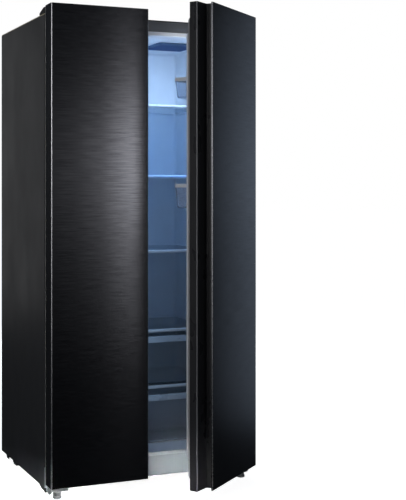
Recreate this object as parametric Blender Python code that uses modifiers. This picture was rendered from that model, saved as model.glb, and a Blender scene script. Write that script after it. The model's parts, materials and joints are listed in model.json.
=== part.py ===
"""Side by side refrigerator: a freezer on the left, a refrigerator on the right, a full-height door on each.

Metres, +Z up, the doors face -Y. Every piece is drawn with both doors closed, in the appliance's own
coordinates: x from the left side, y from the doors' front faces and z from the floor. The pieces are then
hung on one empty for each moving body, and the refrigerator door's empty is turned to leave that door ajar.
Last, the whole appliance is moved so that the middle of its footprint is the world's origin.
"""

from math import cos, pi, radians, sin

import bmesh
import bpy
from mathutils import Matrix, Vector

# ---- Driving dimensions ---------------------------------------------------------------------------------

WIDTH = 0.820
CABINET_FRONT = 0.082
CABINET_BACK = 0.667
CABINET_BASE = 0.030
CABINET_TOP = 1.755
DOOR_BASE = 0.045
DOOR_TOP = 1.780
DOOR_DEPTH = 0.073
FREEZER_DOOR_WIDTH = 0.377
DOOR_GAP = 0.003
REST_OPENING = radians(38.25)

GAP = 0.0003
SHEET = 0.001
LINER = 0.0015
FLANGE = 0.014

# The hinge axis, from the hinge side and back from the doors' front faces, and its plates.
HINGE_INSET, HINGE_BACK = 0.022, 0.042
HINGE_TAIL = 0.150
PIN_ROOT = 0.001

# The two compartments: their side walls, and the stepped floor that both share.
FREEZER_LEFT, FREEZER_RIGHT = 0.062, 0.350
FRIDGE_LEFT, FRIDGE_RIGHT = 0.408, 0.758
FLOOR, CEILING = 0.119, 1.697
HUMP_TOP, HUMP_FRONT = 0.300, 0.400
INNER_BACK = 0.585
FOAM_BASE = 0.062
NICHE_FRONT, NICHE_TOP = 0.436, 0.264

# The doors' cross-section, as distances from the free edge and back from the front face.
SKIN = 0.0012
SKIN_RETURN = 0.066
LIP = 0.006
GRIP_WALL = 0.0025
GROOVE_DEPTH = 0.026
GROOVE_FRONT, GROOVE_BACK = 0.0065, 0.036
LAND_FRONT = 0.042
LAND_LEAN = 0.004
FRIDGE_PANEL_INSET = 0.040
CAP_HEIGHT = 0.010
GASKET_INSET, GASKET_WIDTH, GASKET_DEPTH = 0.008, 0.014, 0.0082
GASKET_BASE, GASKET_TOP = 0.079, 1.729
DYKE_CLEARANCE, DYKE_WIDTH, DYKE_DEPTH = 0.020, 0.020, 0.037
DYKE_HINGE_CLEARANCE, DYKE_END_CLEARANCE = 0.012, 0.012
HINGE_PIN_RADIUS = 0.004

SHELF_FRONT, FREEZER_SHELF_FRONT = 0.200, 0.215
SHELF_BACK, FREEZER_SHELF_BACK = 0.572, 0.534
SHELF_SIDE_GAP = 0.002
GLASS = 0.004
TRIM_HEIGHT, TRIM_DEPTH = 0.011, 0.014
RIB_REACH, RIB_HEIGHT, RIB_FRONT = 0.007, 0.006, 0.230
GLASS_DROP = 0.0065
FRIDGE_SHELVES = {
    "fridge_shelf_top": 1.446,
    "fridge_shelf_middle": 1.170,
    "fridge_shelf_bottom": 0.876,
    "crisper_cover_upper": 0.565,
    "crisper_cover_lower": 0.345,
}
FREEZER_SHELVES = {"freezer_shelf_upper": 1.330, "freezer_shelf_lower": 0.960}
FREEZER_DRAWER_RIB = 0.3597

# The doors' bins: name, rim, depth from the doors' front faces, and height.
FREEZER_BINS = (
    ("freezer_bin_upper", 1.420, 0.160, 0.090),
    ("freezer_bin_lower", 1.020, 0.160, 0.090),
)
FRIDGE_BINS = (
    ("fridge_bin_upper", 1.522, 0.172, 0.074),
    ("fridge_bin_lower", 1.134, 0.172, 0.088),
)

COMPRESSOR_CENTRE = (0.600, 0.550)
COMPRESSOR_RADIUS = 0.072
CONDENSER_FAN_CENTRE = (0.410, 0.545, 0.140)
EVAPORATOR_FAN_CENTRE = (0.206, 0.5435, 1.230)
EVAPORATOR_FAN_RADIUS = 0.048
EVAPORATOR_COVER_FRONT = 0.5400
ROLLER_RADIUS, ROLLER_AXLE_RADIUS = 0.0145, 0.0030
ROLLER_Y = 0.520
FOOT_CENTRE = (0.036, 0.044)
FOOT_STEM_RADIUS = 0.0048
ROUND_STEPS = 24

# ---- Materials ------------------------------------------------------------------------------------------

FINISHES = {
    "graphite_steel": ((0.070, 0.072, 0.080), 0.38, 0.85),
    "side_paint": ((0.055, 0.056, 0.062), 0.48, 0.20),
    "galvanised_steel": ((0.50, 0.51, 0.52), 0.45, 0.90),
    "foam": ((0.83, 0.78, 0.60), 0.90, 0.0),
    "white_liner": ((0.86, 0.88, 0.90), 0.40, 0.0),
    "pale_panel": ((0.62, 0.64, 0.69), 0.45, 0.0),
    "grip_plastic": ((0.030, 0.030, 0.035), 0.40, 0.0),
    "gasket_rubber": ((0.36, 0.36, 0.38), 0.70, 0.0),
    "clear_plastic": ((0.78, 0.86, 0.94), 0.12, 0.0),
    "shelf_glass": ((0.80, 0.90, 0.95), 0.05, 0.0),
    "black_plastic": ((0.020, 0.020, 0.022), 0.55, 0.0),
    "compressor_black": ((0.015, 0.015, 0.017), 0.50, 0.30),
    "copper": ((0.72, 0.36, 0.22), 0.35, 1.0),
    "aluminium": ((0.75, 0.76, 0.77), 0.40, 0.95),
    "zinc_steel": ((0.55, 0.56, 0.58), 0.35, 0.95),
    "lamp_lens": ((0.55, 0.68, 0.90), 0.30, 0.0),
}


def finish(name):
    """The Principled material of that finish, made the first time that it is asked for."""
    if name in bpy.data.materials:
        return bpy.data.materials[name]
    colour, roughness, metallic = FINISHES[name]
    material = bpy.data.materials.new(name)
    material.use_nodes = True
    shader = material.node_tree.nodes["Principled BSDF"]
    shader.inputs["Base Color"].default_value = (*colour, 1.0)
    shader.inputs["Roughness"].default_value = roughness
    shader.inputs["Metallic"].default_value = metallic
    return material


# ---- The scene, its collections and bodies --------------------------------------------------------------

for old in list(bpy.data.objects):
    bpy.data.objects.remove(old, do_unlink=True)

PARTS = bpy.data.collections.new("side_by_side_refrigerator")
CUTTERS = bpy.data.collections.new("cutters")
bpy.context.scene.collection.children.link(PARTS)
bpy.context.scene.collection.children.link(CUTTERS)
BODIES = {}


def add_body(name, pivot=(0.0, 0.0, 0.0), turn=0.0):
    """An empty on the body's joint axis. Its pieces are its children, so turning it turns them."""
    empty = bpy.data.objects.new(name + "_axis", None)
    empty.location = pivot
    empty.rotation_euler = (0.0, 0.0, turn)
    PARTS.objects.link(empty)
    if BODIES:
        empty.parent = BODIES["cabinet"]
    BODIES[name] = empty


def add_part(piece, body, material):
    """Puts a piece on its body, at the place where it was drawn with the doors closed."""
    piece.data.materials.clear()
    piece.data.materials.append(finish(material))
    piece.parent = BODIES[body]
    if body != "cabinet":
        piece.location = piece.location - BODIES[body].location
    return piece


# ---- Shapes ---------------------------------------------------------------------------------------------


def mesh_object(name, mesh, centre=(0.0, 0.0, 0.0)):
    piece = bpy.data.objects.new(name, mesh)
    piece.location = centre
    PARTS.objects.link(piece)
    return piece


def centred(name, mesh):
    """An object with its origin in the middle of the mesh."""
    corners = [vertex.co for vertex in mesh.vertices]
    low = Vector(min(corner[axis] for corner in corners) for axis in range(3))
    high = Vector(max(corner[axis] for corner in corners) for axis in range(3))
    middle = (low + high) / 2
    mesh.transform(Matrix.Translation(-middle))
    return mesh_object(name, mesh, middle)


def mesh_from(build, name):
    """A mesh that the function build makes in a new bmesh."""
    shape = bmesh.new()
    build(shape)
    bmesh.ops.recalc_face_normals(shape, faces=shape.faces)
    mesh = bpy.data.meshes.new(name)
    shape.to_mesh(mesh)
    shape.free()
    return mesh


def box(name, low, high):
    low, high = Vector(low), Vector(high)

    def build(shape):
        bmesh.ops.create_cube(shape, size=1.0)
        bmesh.ops.scale(shape, vec=high - low, verts=shape.verts)

    return mesh_object(name, mesh_from(build, name), (low + high) / 2)


AXIS_TURNS = {
    "X": Matrix(((0, 0, 1, 0), (1, 0, 0, 0), (0, 1, 0, 0), (0, 0, 0, 1))),
    "Y": Matrix(((1, 0, 0, 0), (0, 0, -1, 0), (0, 1, 0, 0), (0, 0, 0, 1))),
    "Z": Matrix.Identity(4),
}


def extrusion(name, outline, start, end, axis, holes=()):
    """A flat outline extruded along an axis: (x, y) along Z, (y, z) along X, or (x, z) along Y."""
    curve = bpy.data.curves.new(name, "CURVE")
    curve.dimensions = "2D"
    curve.fill_mode = "BOTH"
    curve.extrude = (end - start) / 2
    for loop in (outline, *holes):
        spline = curve.splines.new("POLY")
        spline.points.add(len(loop) - 1)
        for point, place in zip(spline.points, loop):
            point.co = (*place, 0.0, 1.0)
        spline.use_cyclic_u = True
    middle = (start + end) / 2
    shift = {"X": (middle, 0, 0), "Y": (0, middle, 0), "Z": (0, 0, middle)}[axis]
    mesh = mesh_of_curve(name, curve)
    mesh.transform(Matrix.Translation(shift) @ AXIS_TURNS[axis])
    return centred(name, mesh)


def mesh_of_curve(name, curve):
    """The curve's surface as a mesh, with its loose caps welded on."""
    guide = bpy.data.objects.new(name + "_guide", curve)
    PARTS.objects.link(guide)
    evaluated = guide.evaluated_get(bpy.context.evaluated_depsgraph_get())
    mesh = bpy.data.meshes.new_from_object(evaluated)
    bpy.data.objects.remove(guide)
    shape = bmesh.new()
    shape.from_mesh(mesh)
    bmesh.ops.remove_doubles(shape, verts=shape.verts, dist=1e-6)
    bmesh.ops.recalc_face_normals(shape, faces=shape.faces)
    shape.to_mesh(mesh)
    shape.free()
    return mesh


def tube(name, route, radius):
    """A round tube through the route's points."""
    curve = bpy.data.curves.new(name, "CURVE")
    curve.dimensions = "3D"
    curve.bevel_depth = radius
    curve.bevel_resolution = 2
    curve.use_fill_caps = True
    spline = curve.splines.new("POLY")
    spline.points.add(len(route) - 1)
    for point, place in zip(spline.points, route):
        point.co = (*place, 1.0)
    mesh = mesh_of_curve(name, curve)
    mesh.shade_smooth()
    return centred(name, mesh)


def cylinder(name, centre, radius, length, axis, steps=ROUND_STEPS):
    def build(shape):
        bmesh.ops.create_cone(
            shape, cap_ends=True, segments=steps, radius1=radius, radius2=radius, depth=length
        )

    mesh = mesh_from(build, name)
    mesh.transform(AXIS_TURNS[axis])
    mesh.set_sharp_from_angle(angle=radians(40))
    return mesh_object(name, mesh, centre)


def turned(name, profile, centre, axis):
    """A solid of revolution. The profile is (radius, height), from the top of the axis to its foot."""
    shape = bmesh.new()
    points = [shape.verts.new((radius, 0.0, height)) for radius, height in profile]
    for upper, lower in zip(points, points[1:]):
        shape.edges.new((upper, lower))
    mesh = bpy.data.meshes.new(name)
    shape.to_mesh(mesh)
    shape.free()
    piece = mesh_object(name, mesh)
    screw = piece.modifiers.new("turn", "SCREW")
    screw.steps = screw.render_steps = ROUND_STEPS
    screw.use_merge_vertices = True
    screw.merge_threshold = 0.0001
    screw.use_smooth_shade = True
    solid = applied(piece)
    solid.transform(AXIS_TURNS[axis])
    piece.data = solid
    piece.location = centre
    return piece


def applied(piece):
    """The piece's evaluated mesh, with its modifiers taken off."""
    graph = bpy.context.evaluated_depsgraph_get()
    mesh = bpy.data.meshes.new_from_object(piece.evaluated_get(graph))
    piece.modifiers.clear()
    return mesh


def tub(name, low, high, wall, foot=1.0):
    """A box open at its top, with walls inside its outer size. foot narrows it towards its bottom."""
    low, high = Vector(low), Vector(high)
    shape = bmesh.new()
    bmesh.ops.create_cube(shape, size=1.0)
    bmesh.ops.scale(shape, vec=high - low, verts=shape.verts)
    lower = [vertex for vertex in shape.verts if vertex.co.z < 0]
    bmesh.ops.scale(shape, vec=(foot, foot, 1.0), verts=lower)
    shape.normal_update()
    opening = [face for face in shape.faces if face.normal.z > 0.9]
    bmesh.ops.delete(shape, geom=opening, context="FACES_ONLY")
    mesh = bpy.data.meshes.new(name)
    shape.to_mesh(mesh)
    shape.free()
    piece = mesh_object(name, mesh, (low + high) / 2)
    walls = piece.modifiers.new("walls", "SOLIDIFY")
    walls.thickness = wall
    walls.offset = -1.0
    walls.use_even_offset = True
    walls.use_quality_normals = True
    return piece


def combine(piece, tools, operation):
    """Joins tools to the piece, or cuts them from it, one after the other."""
    for tool in tools:
        PARTS.objects.unlink(tool)
        CUTTERS.objects.link(tool)
        tool.hide_render = True
        tool.display_type = "WIRE"
        step = piece.modifiers.new(tool.name, "BOOLEAN")
        step.operation = operation
        step.object = tool
    bpy.context.view_layer.update()
    piece.data = applied(piece)
    for tool in tools:
        bpy.data.objects.remove(tool)
    return piece


def ring(centre, radius, steps=ROUND_STEPS, start=0.0, sweep=2 * pi):
    """Points on a circle, or on an arc of it."""
    closed = abs(sweep - 2 * pi) < 1e-9
    count = steps if closed else steps + 1
    angles = [start + sweep * step / steps for step in range(count)]
    return [(centre[0] + radius * cos(angle), centre[1] + radius * sin(angle)) for angle in angles]


def rectangle(left, low, right, high):
    return [(left, low), (right, low), (right, high), (left, high)]


# ---- Cabinet --------------------------------------------------------------------------------------------


def cabinet_wrap():
    """One painted sheet folded over the left side, the top and the right side."""
    inner = SHEET
    outline = [
        (0.0, CABINET_BASE),
        (inner, CABINET_BASE),
        (inner, CABINET_TOP - inner),
        (WIDTH - inner, CABINET_TOP - inner),
        (WIDTH - inner, CABINET_BASE),
        (WIDTH, CABINET_BASE),
        (WIDTH, CABINET_TOP),
        (0.0, CABINET_TOP),
    ]
    wrap = extrusion("cabinet_wrap", outline, CABINET_FRONT, CABINET_BACK, "Y")
    add_part(wrap, "cabinet", "side_paint")


INSIDE_LEFT = SHEET + GAP
INSIDE_RIGHT = WIDTH - SHEET - GAP
INSIDE_TOP = CABINET_TOP - SHEET - GAP
PANEL_TOP = FLOOR - FLANGE - GAP


def front_frame():
    """The steel face around and between the two openings: a top rail with three legs."""
    freezer = (FREEZER_LEFT - FLANGE - GAP, FREEZER_RIGHT + FLANGE + GAP)
    fridge = (FRIDGE_LEFT - FLANGE - GAP, FRIDGE_RIGHT + FLANGE + GAP)
    rail = CEILING + FLANGE + GAP
    foot = PANEL_TOP + GAP
    outline = [
        (INSIDE_LEFT, foot),
        (freezer[0], foot),
        (freezer[0], rail),
        (freezer[1], rail),
        (freezer[1], foot),
        (fridge[0], foot),
        (fridge[0], rail),
        (fridge[1], rail),
        (fridge[1], foot),
        (INSIDE_RIGHT, foot),
        (INSIDE_RIGHT, INSIDE_TOP),
        (INSIDE_LEFT, INSIDE_TOP),
    ]
    frame = extrusion("front_frame", outline, CABINET_FRONT, CABINET_FRONT + SHEET, "Y")
    add_part(frame, "cabinet", "graphite_steel")


def lower_front_panel():
    """The pale cover across the foot of the cabinet, in front of the base pan."""
    low = (INSIDE_LEFT, CABINET_FRONT, CABINET_BASE)
    high = (INSIDE_RIGHT, CABINET_FRONT + LINER, PANEL_TOP)
    add_part(box("lower_front_panel", low, high), "cabinet", "pale_panel")


def compartment_outline(front, grow):
    """Side view of a compartment, larger by grow on every side but the front."""
    return [
        (front, FLOOR - grow),
        (HUMP_FRONT + grow, FLOOR - grow),
        (HUMP_FRONT + grow, HUMP_TOP - grow),
        (INNER_BACK + grow, HUMP_TOP - grow),
        (INNER_BACK + grow, CEILING + grow),
        (front, CEILING + grow),
    ]


def foam_half(name, left, right, cavity_left, cavity_right):
    """Insulation around one compartment, notched at its lower back for the compressor's niche."""
    front = CABINET_FRONT + LINER + GAP
    back = CABINET_BACK - SHEET - 2 * GAP
    outline = [
        (front, FOAM_BASE),
        (NICHE_FRONT, FOAM_BASE),
        (NICHE_FRONT, NICHE_TOP),
        (back, NICHE_TOP),
        (back, INSIDE_TOP),
        (front, INSIDE_TOP),
    ]
    grow = LINER + GAP
    foam = extrusion(name, outline, left, right, "X")
    cut_start = front - 0.05
    cavity = extrusion(
        name + "_cavity",
        compartment_outline(cut_start, grow),
        cavity_left - grow,
        cavity_right + grow,
        "X",
    )
    add_part(combine(foam, [cavity], "DIFFERENCE"), "cabinet", "foam")


def liner(name, left, right, ribs):
    """A thin tub open to the front, with a flange round its mouth and ribs that hold the shelves."""
    tray = extrusion(name, compartment_outline(CABINET_FRONT, 0.0), left, right, "X")
    shape = bmesh.new()
    shape.from_mesh(tray.data)
    shape.normal_update()
    bmesh.ops.dissolve_limit(shape, angle_limit=radians(1), verts=shape.verts, edges=shape.edges)
    mouth = min(shape.faces, key=lambda face: face.calc_center_median().y)
    bmesh.ops.delete(shape, geom=[mouth], context="FACES")
    rim = [edge for edge in shape.edges if edge.is_boundary]
    flange = bmesh.ops.extrude_edge_only(shape, edges=rim)["geom"]
    middle = sum((vertex.co for vertex in shape.verts), Vector()) / len(shape.verts)
    for vertex in (item for item in flange if isinstance(item, bmesh.types.BMVert)):
        vertex.co.x += FLANGE if vertex.co.x > 0 else -FLANGE
        vertex.co.z += FLANGE if vertex.co.z > middle.z else -FLANGE
    bmesh.ops.recalc_face_normals(shape, faces=shape.faces)
    back = max(shape.faces, key=lambda face: face.calc_center_median().y)
    if back.normal.y < 0:
        bmesh.ops.reverse_faces(shape, faces=shape.faces)
    shape.to_mesh(tray.data)
    shape.free()
    walls = tray.modifiers.new("walls", "SOLIDIFY")
    walls.thickness = LINER
    walls.offset = 1.0
    walls.use_even_offset = True
    walls.use_quality_normals = True
    root = LINER * 0.7
    tools = []
    for number, (top, back_end) in enumerate(ribs):
        for side, face, inward in (("left", left, 1.0), ("right", right, -1.0)):
            near, far = sorted((face + inward * RIB_REACH, face - inward * root))
            low = (near, RIB_FRONT, top - RIB_HEIGHT)
            high = (far, back_end, top)
            tools.append(box(f"{name}_rib_{side}_{number}", low, high))
    add_part(combine(tray, tools, "UNION"), "cabinet", "white_liner")


def rear_panel():
    """The back sheet, folded in over the compressor's niche and down in front of it."""
    back = CABINET_BACK - GAP
    outline = [
        (back, INSIDE_TOP),
        (back - SHEET, INSIDE_TOP),
        (back - SHEET, NICHE_TOP - GAP),
        (NICHE_FRONT + GAP, NICHE_TOP - GAP),
        (NICHE_FRONT + GAP, FOAM_BASE),
        (NICHE_FRONT + GAP + SHEET, FOAM_BASE),
        (NICHE_FRONT + GAP + SHEET, NICHE_TOP - GAP - SHEET),
        (back, NICHE_TOP - GAP - SHEET),
    ]
    panel = extrusion("rear_panel", outline, INSIDE_LEFT, INSIDE_RIGHT, "X")
    add_part(panel, "cabinet", "galvanised_steel")


def roller_cheeks(side, centre_x):
    """Two cheeks under the base pan that carry a rear roller's axle."""
    foot, top, half_foot, half_top, thickness = 0.006, CABINET_BASE + 0.0010, 0.012, 0.020, 0.003
    outline = [
        (ROLLER_Y - half_foot, foot),
        (ROLLER_Y + half_foot, foot),
        (ROLLER_Y + half_top, top),
        (ROLLER_Y - half_top, top),
    ]
    bore = ring((ROLLER_Y, ROLLER_RADIUS), ROLLER_AXLE_RADIUS + 0.0004, 12)
    cheeks = []
    for number, offset in enumerate((-0.0165, 0.0135)):
        start = centre_x + offset
        name = f"cheek_{side}_{number}"
        cheeks.append(extrusion(name, outline, start, start + thickness, "X", holes=[bore]))
    return cheeks


ROLLER_X = {"left": 0.030, "right": WIDTH - 0.030}


def base_pan():
    """The steel tray under the whole cabinet, with the rear rollers' cheeks on its underside."""
    low = (INSIDE_LEFT, CABINET_FRONT + LINER + GAP, CABINET_BASE)
    high = (INSIDE_RIGHT, CABINET_BACK - SHEET - 2 * GAP, FOAM_BASE - GAP)
    pan = tub("base_pan", low, high, LINER)
    cheeks = [cheek for side, x in ROLLER_X.items() for cheek in roller_cheeks(side, x)]
    add_part(combine(pan, cheeks, "UNION"), "cabinet", "galvanised_steel")


def compressor_cover():
    """The slotted cover that closes the niche at the back."""
    low, high = CABINET_BASE + 0.002, NICHE_TOP - GAP - SHEET - GAP
    outline = rectangle(INSIDE_LEFT, low, INSIDE_RIGHT, high)
    slots = []
    slot_length, slot_height, lowest, pitch, rows = 0.090, 0.008, 0.095, 0.024, 5
    for column in (0.080, 0.200, 0.320):
        for row in range(rows):
            foot = lowest + pitch * row
            slots.append(rectangle(column, foot, column + slot_length, foot + slot_height))
    back = CABINET_BACK - GAP
    cover = extrusion("compressor_cover", outline, back - SHEET, back, "Y", holes=slots)
    add_part(cover, "cabinet", "galvanised_steel")


def cord_inlet():
    """The gland at the lower back that a mains lead would enter by."""
    centre, outer, inner, length = (0.740, 0.090), 0.011, 0.0045, 0.012
    rim, bore = ring(centre, outer), ring(centre, inner, 16)
    gland = extrusion("cord_inlet", rim, CABINET_BACK, CABINET_BACK + length, "Y", holes=[bore])
    add_part(gland, "cabinet", "black_plastic")


# ---- Cooling parts --------------------------------------------------------------------------------------


def compressor():
    """A domed steel pot on a foot plate, with its terminal box on one side."""
    x, y = COMPRESSOR_CENTRE
    foot, plate, height = CABINET_BASE + LINER + GAP, 0.012, 0.160
    dome, dome_steps, bowl_top, bowl_share = 0.045, 6, 0.030, 0.6
    turns = [pi / 2 * step / dome_steps for step in range(dome_steps + 1)]
    crown = [(COMPRESSOR_RADIUS * sin(turn), dome * cos(turn)) for turn in turns]
    upper = [(radius, height - dome + rise) for radius, rise in crown]
    lower = [(radius, bowl_top - rise * bowl_share) for radius, rise in reversed(crown)]
    pot = turned("compressor", upper + lower, (x, y, foot + plate - 0.006), "Z")
    base = box("pot_base", (x - 0.085, y - 0.065, foot), (x + 0.085, y + 0.065, foot + plate))
    terminals = box(
        "pot_terminals",
        (x + COMPRESSOR_RADIUS - 0.015, y - 0.025, foot + 0.060),
        (x + COMPRESSOR_RADIUS + 0.030, y + 0.025, foot + 0.115),
    )
    add_part(combine(pot, [base, terminals], "UNION"), "cabinet", "compressor_black")


def drip_tray():
    """The tray over the compressor, whose heat dries the defrost water."""
    x, y = COMPRESSOR_CENTRE
    half_width, half_depth, floor, height = 0.100, 0.075, 0.212, 0.035
    low = (x - half_width, y - half_depth, floor)
    high = (x + half_width, y + half_depth, floor + height)
    tray = tub("drip_tray", low, high, 0.0015)
    add_part(tray, "cabinet", "black_plastic")


def serpentine(start, end, levels, bend_steps, place):
    """Points of a run that turns back at each level. place(along, level) gives a point in space."""
    route = []
    for number, (low, high) in enumerate(zip(levels, levels[1:])):
        ends = (start, end) if number % 2 == 0 else (end, start)
        radius = (high - low) / 2
        bulge = radius if ends[1] > ends[0] else -radius
        route += [place(ends[0], low), place(ends[1], low)]
        for step in range(1, bend_steps):
            angle = pi * step / bend_steps
            route.append(place(ends[1] + bulge * sin(angle), low + radius * (1 - cos(angle))))
    last = (start, end) if (len(levels) - 1) % 2 == 0 else (end, start)
    return route + [place(last[0], levels[-1]), place(last[1], levels[-1])]


def condenser():
    """A bare tube coil that stands beside the compressor's fan."""
    levels = [0.050 + 0.026 * number for number in range(8)]
    route = serpentine(0.070, 0.320, levels, 4, lambda along, level: (along, 0.545, level))
    add_part(tube("condenser_coil", route, 0.0035), "cabinet", "copper")


def fan(name, centre, radius, axis, blades, pitch, shaft):
    """A hub with pitched blades, and the shaft that runs towards -axis."""
    hub_radius, hub_length, shaft_radius = radius * 0.28, 0.014, 0.0025
    root = hub_radius - 0.004
    half_span, half_chord, half_thickness = (radius - root) / 2, 0.014, 0.0008
    hub = cylinder(name, (0, 0, 0), hub_radius, hub_length, "Z")
    tools = [cylinder(name + "_shaft", (0, 0, -shaft / 2), shaft_radius, shaft, "Z", 12)]
    corner = Vector((half_span, half_chord, half_thickness))
    for number in range(blades):
        blade = box(f"{name}_blade_{number}", -corner, corner)
        turn = Matrix.Rotation(2 * pi * number / blades, 4, "Z")
        lean = Matrix.Rotation(pitch, 4, "X")
        blade.data.transform(turn @ Matrix.Translation((root + half_span, 0, 0)) @ lean)
        tools.append(blade)
    combine(hub, tools, "UNION")
    hub.data.transform(AXIS_TURNS[axis])
    hub.location = centre
    return hub


def condenser_fan():
    """The fan that blows over the compressor, and the motor on its bracket."""
    x, y, z = CONDENSER_FAN_CENTRE
    blades = fan("condenser_fan", CONDENSER_FAN_CENTRE, 0.060, "X", 5, radians(28), 0.016)
    blades.data.transform(Matrix.Rotation(pi, 4, "Z"))
    add_part(blades, "condenser_fan", "black_plastic")
    foot = CABINET_BASE + LINER + GAP
    start, length = x + 0.010, 0.030
    motor = cylinder("condenser_fan_motor", (start + length / 2, y, z), 0.022, length, "X")
    post = box("motor_post", (start + 0.006, y - 0.012, foot), (start + 0.024, y + 0.012, z - 0.010))
    shoe = box("motor_shoe", (start - 0.004, y - 0.030, foot), (start + 0.034, y + 0.030, foot + 0.003))
    combine(motor, [post, shoe], "UNION")
    bore = cylinder("motor_bore", (start + 0.004, y, z), 0.0030, 0.014, "X", 12)
    add_part(combine(motor, [bore], "DIFFERENCE"), "cabinet", "galvanised_steel")


def evaporator():
    """The finned coil behind the freezer's back cover."""
    levels = [0.560 + 0.060 * number for number in range(8)]
    route = serpentine(0.103, 0.309, levels, 4, lambda along, level: (along, 0.565, level))
    coil = tube("evaporator_coil", route, 0.004)
    fins = []
    for number in range(9):
        x = 0.110 + 0.024 * number
        fins.append(box(f"fin_{number}", (x, 0.552, 0.545), (x + 0.001, 0.578, 0.995)))
    add_part(combine(coil, fins, "UNION"), "cabinet", "aluminium")


def evaporator_cover():
    """The freezer's back cover: three openings round the fan's bearing, and a grille at its foot."""
    clear = 0.0008
    x, _, z = EVAPORATOR_FAN_CENTRE
    outline = rectangle(FREEZER_LEFT + clear, HUMP_TOP + clear, FREEZER_RIGHT - clear, CEILING - clear)
    outer, inner, arm = 0.050, 0.015, radians(14)
    holes = [ring((x, z), 0.0030, 12)]
    for number in range(3):
        start = 2 * pi * number / 3 + arm
        sweep = 2 * pi / 3 - 2 * arm
        rim = ring((x, z), outer, 10, start, sweep)
        bearing = ring((x, z), inner, 6, start + sweep, -sweep)
        holes.append(rim + bearing)
    for row in range(6):
        foot = 0.340 + 0.022 * row
        holes.append(rectangle(0.110, foot, 0.300, foot + 0.008))
    front = EVAPORATOR_COVER_FRONT
    cover = extrusion("evaporator_cover", outline, front, front + 0.0025, "Y", holes=holes)
    add_part(cover, "cabinet", "white_liner")


def evaporator_fan():
    """The fan behind the cover. Its shaft turns in the cover's bearing."""
    x, _, z = EVAPORATOR_FAN_CENTRE
    back = EVAPORATOR_COVER_FRONT + 0.0025
    centre = (x, back + 0.0145, z)
    blades = fan("evaporator_fan", centre, EVAPORATOR_FAN_RADIUS, "Y", 5, radians(24), 0.0165)
    blades.data.transform(Matrix.Rotation(pi, 4, "Z"))
    add_part(blades, "evaporator_fan", "black_plastic")


def air_duct_cover():
    """The raised duct down the middle of the refrigerator's back wall, with its outlets."""
    left, right, low, high = 0.470, 0.610, 0.400, 1.560
    margin, slot_height, lowest, pitch = 0.025, 0.018, 0.640, 0.270
    outlets = []
    for number in range(4):
        foot = lowest + pitch * number
        outlets.append(rectangle(left + margin, foot, right - margin, foot + slot_height))
    face = rectangle(left, low, right, high)
    back = INNER_BACK - GAP
    duct = extrusion("air_duct_cover", face, back - 0.008, back, "Y", holes=outlets)
    add_part(duct, "cabinet", "white_liner")


def fridge_lamp():
    low = (0.530, 0.240, CEILING - GAP - 0.010)
    high = (0.700, 0.410, CEILING - GAP)
    add_part(box("fridge_lamp", low, high), "cabinet", "lamp_lens")


# ---- Shelves and drawers --------------------------------------------------------------------------------


def shelf(name, top, left, right, front, back):
    """A glass plate in a moulded trim: a deep bar along the front and a slim one along the back."""
    plate = box(
        name,
        (left + SHELF_SIDE_GAP, front + 0.002, top - GLASS_DROP),
        (right - SHELF_SIDE_GAP, back, top - GLASS_DROP + GLASS),
    )
    bar = box(
        name + "_bar",
        (left + SHELF_SIDE_GAP, front, top - TRIM_HEIGHT),
        (right - SHELF_SIDE_GAP, front + TRIM_DEPTH, top),
    )
    rail = box(
        name + "_rail",
        (left + SHELF_SIDE_GAP + 0.010, back - 0.008, top - 0.009),
        (right - SHELF_SIDE_GAP - 0.010, back + 0.002, top + 0.004),
    )
    add_part(combine(plate, [bar, rail], "UNION"), "cabinet", "shelf_glass")


def shelf_underside(top):
    """Where the glass rests on the liner's ribs."""
    return top - GLASS_DROP - GAP


def drawer(name, body, low, high, rail_height):
    """An open tub with a deeper rail across its front that a hand pulls by."""
    wall = 0.0025
    bin_low = (low[0], low[1] + 0.008, low[2])
    bin_high = (high[0], high[1], high[2] - 0.004)
    bucket = tub(name, bin_low, bin_high, wall, foot=0.97)
    rail = box(name + "_rail", (low[0], low[1], high[2] - rail_height), (high[0], low[1] + 0.012, high[2]))
    add_part(combine(bucket, [rail], "UNION"), body, "clear_plastic")


def drawers():
    side = 0.004
    fridge = (FRIDGE_LEFT + side, FRIDGE_RIGHT - side)
    freezer = (FREEZER_LEFT + side, FREEZER_RIGHT - side)
    rows = (
        ("crisper_drawer_upper", fridge, SHELF_FRONT, 0.560, 0.3500, 0.538, 0.025),
        ("crisper_drawer_lower", fridge, SHELF_FRONT, 0.385, FLOOR + 0.0005, 0.309, 0.024),
        ("freezer_drawer_upper", freezer, FREEZER_SHELF_FRONT, 0.530, 0.3602, 0.575, 0.030),
        ("freezer_drawer_lower", freezer, FREEZER_SHELF_FRONT, 0.385, FLOOR + 0.0005, 0.335, 0.030),
    )
    for name, (left, right), front, back, low, high, rail in rows:
        drawer(name, name, (left, front, low), (right, back, high), rail)


# ---- Doors ----------------------------------------------------------------------------------------------


class Door:
    """One door. Its sections are drawn as (u, v): u from the free edge, v back from the front face."""

    def __init__(self, name, free_edge, hinge_side, panel_inset, opening):
        self.name = name
        self.free_edge = free_edge
        self.width = abs(hinge_side - free_edge)
        self.way = 1.0 if hinge_side > free_edge else -1.0
        self.panel = panel_inset
        self.opening = sorted(abs(side - free_edge) for side in opening)
        self.hinge = (hinge_side - self.way * HINGE_INSET, HINGE_BACK)

    def x(self, u):
        return self.free_edge + self.way * u

    def section(self, points):
        placed = [(self.x(u), v) for u, v in points]
        return placed if self.way > 0 else placed[::-1]

    def prism(self, name, points, low, high, holes=()):
        rings = [self.section(hole) for hole in holes]
        return extrusion(f"{self.name}_{name}", self.section(points), low, high, "Z", holes=rings)

    def block(self, name, u, v, z):
        ends = sorted((self.x(u[0]), self.x(u[1])))
        return box(f"{self.name}_{name}", (ends[0], v[0], z[0]), (ends[1], v[1], z[1]))


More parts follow.
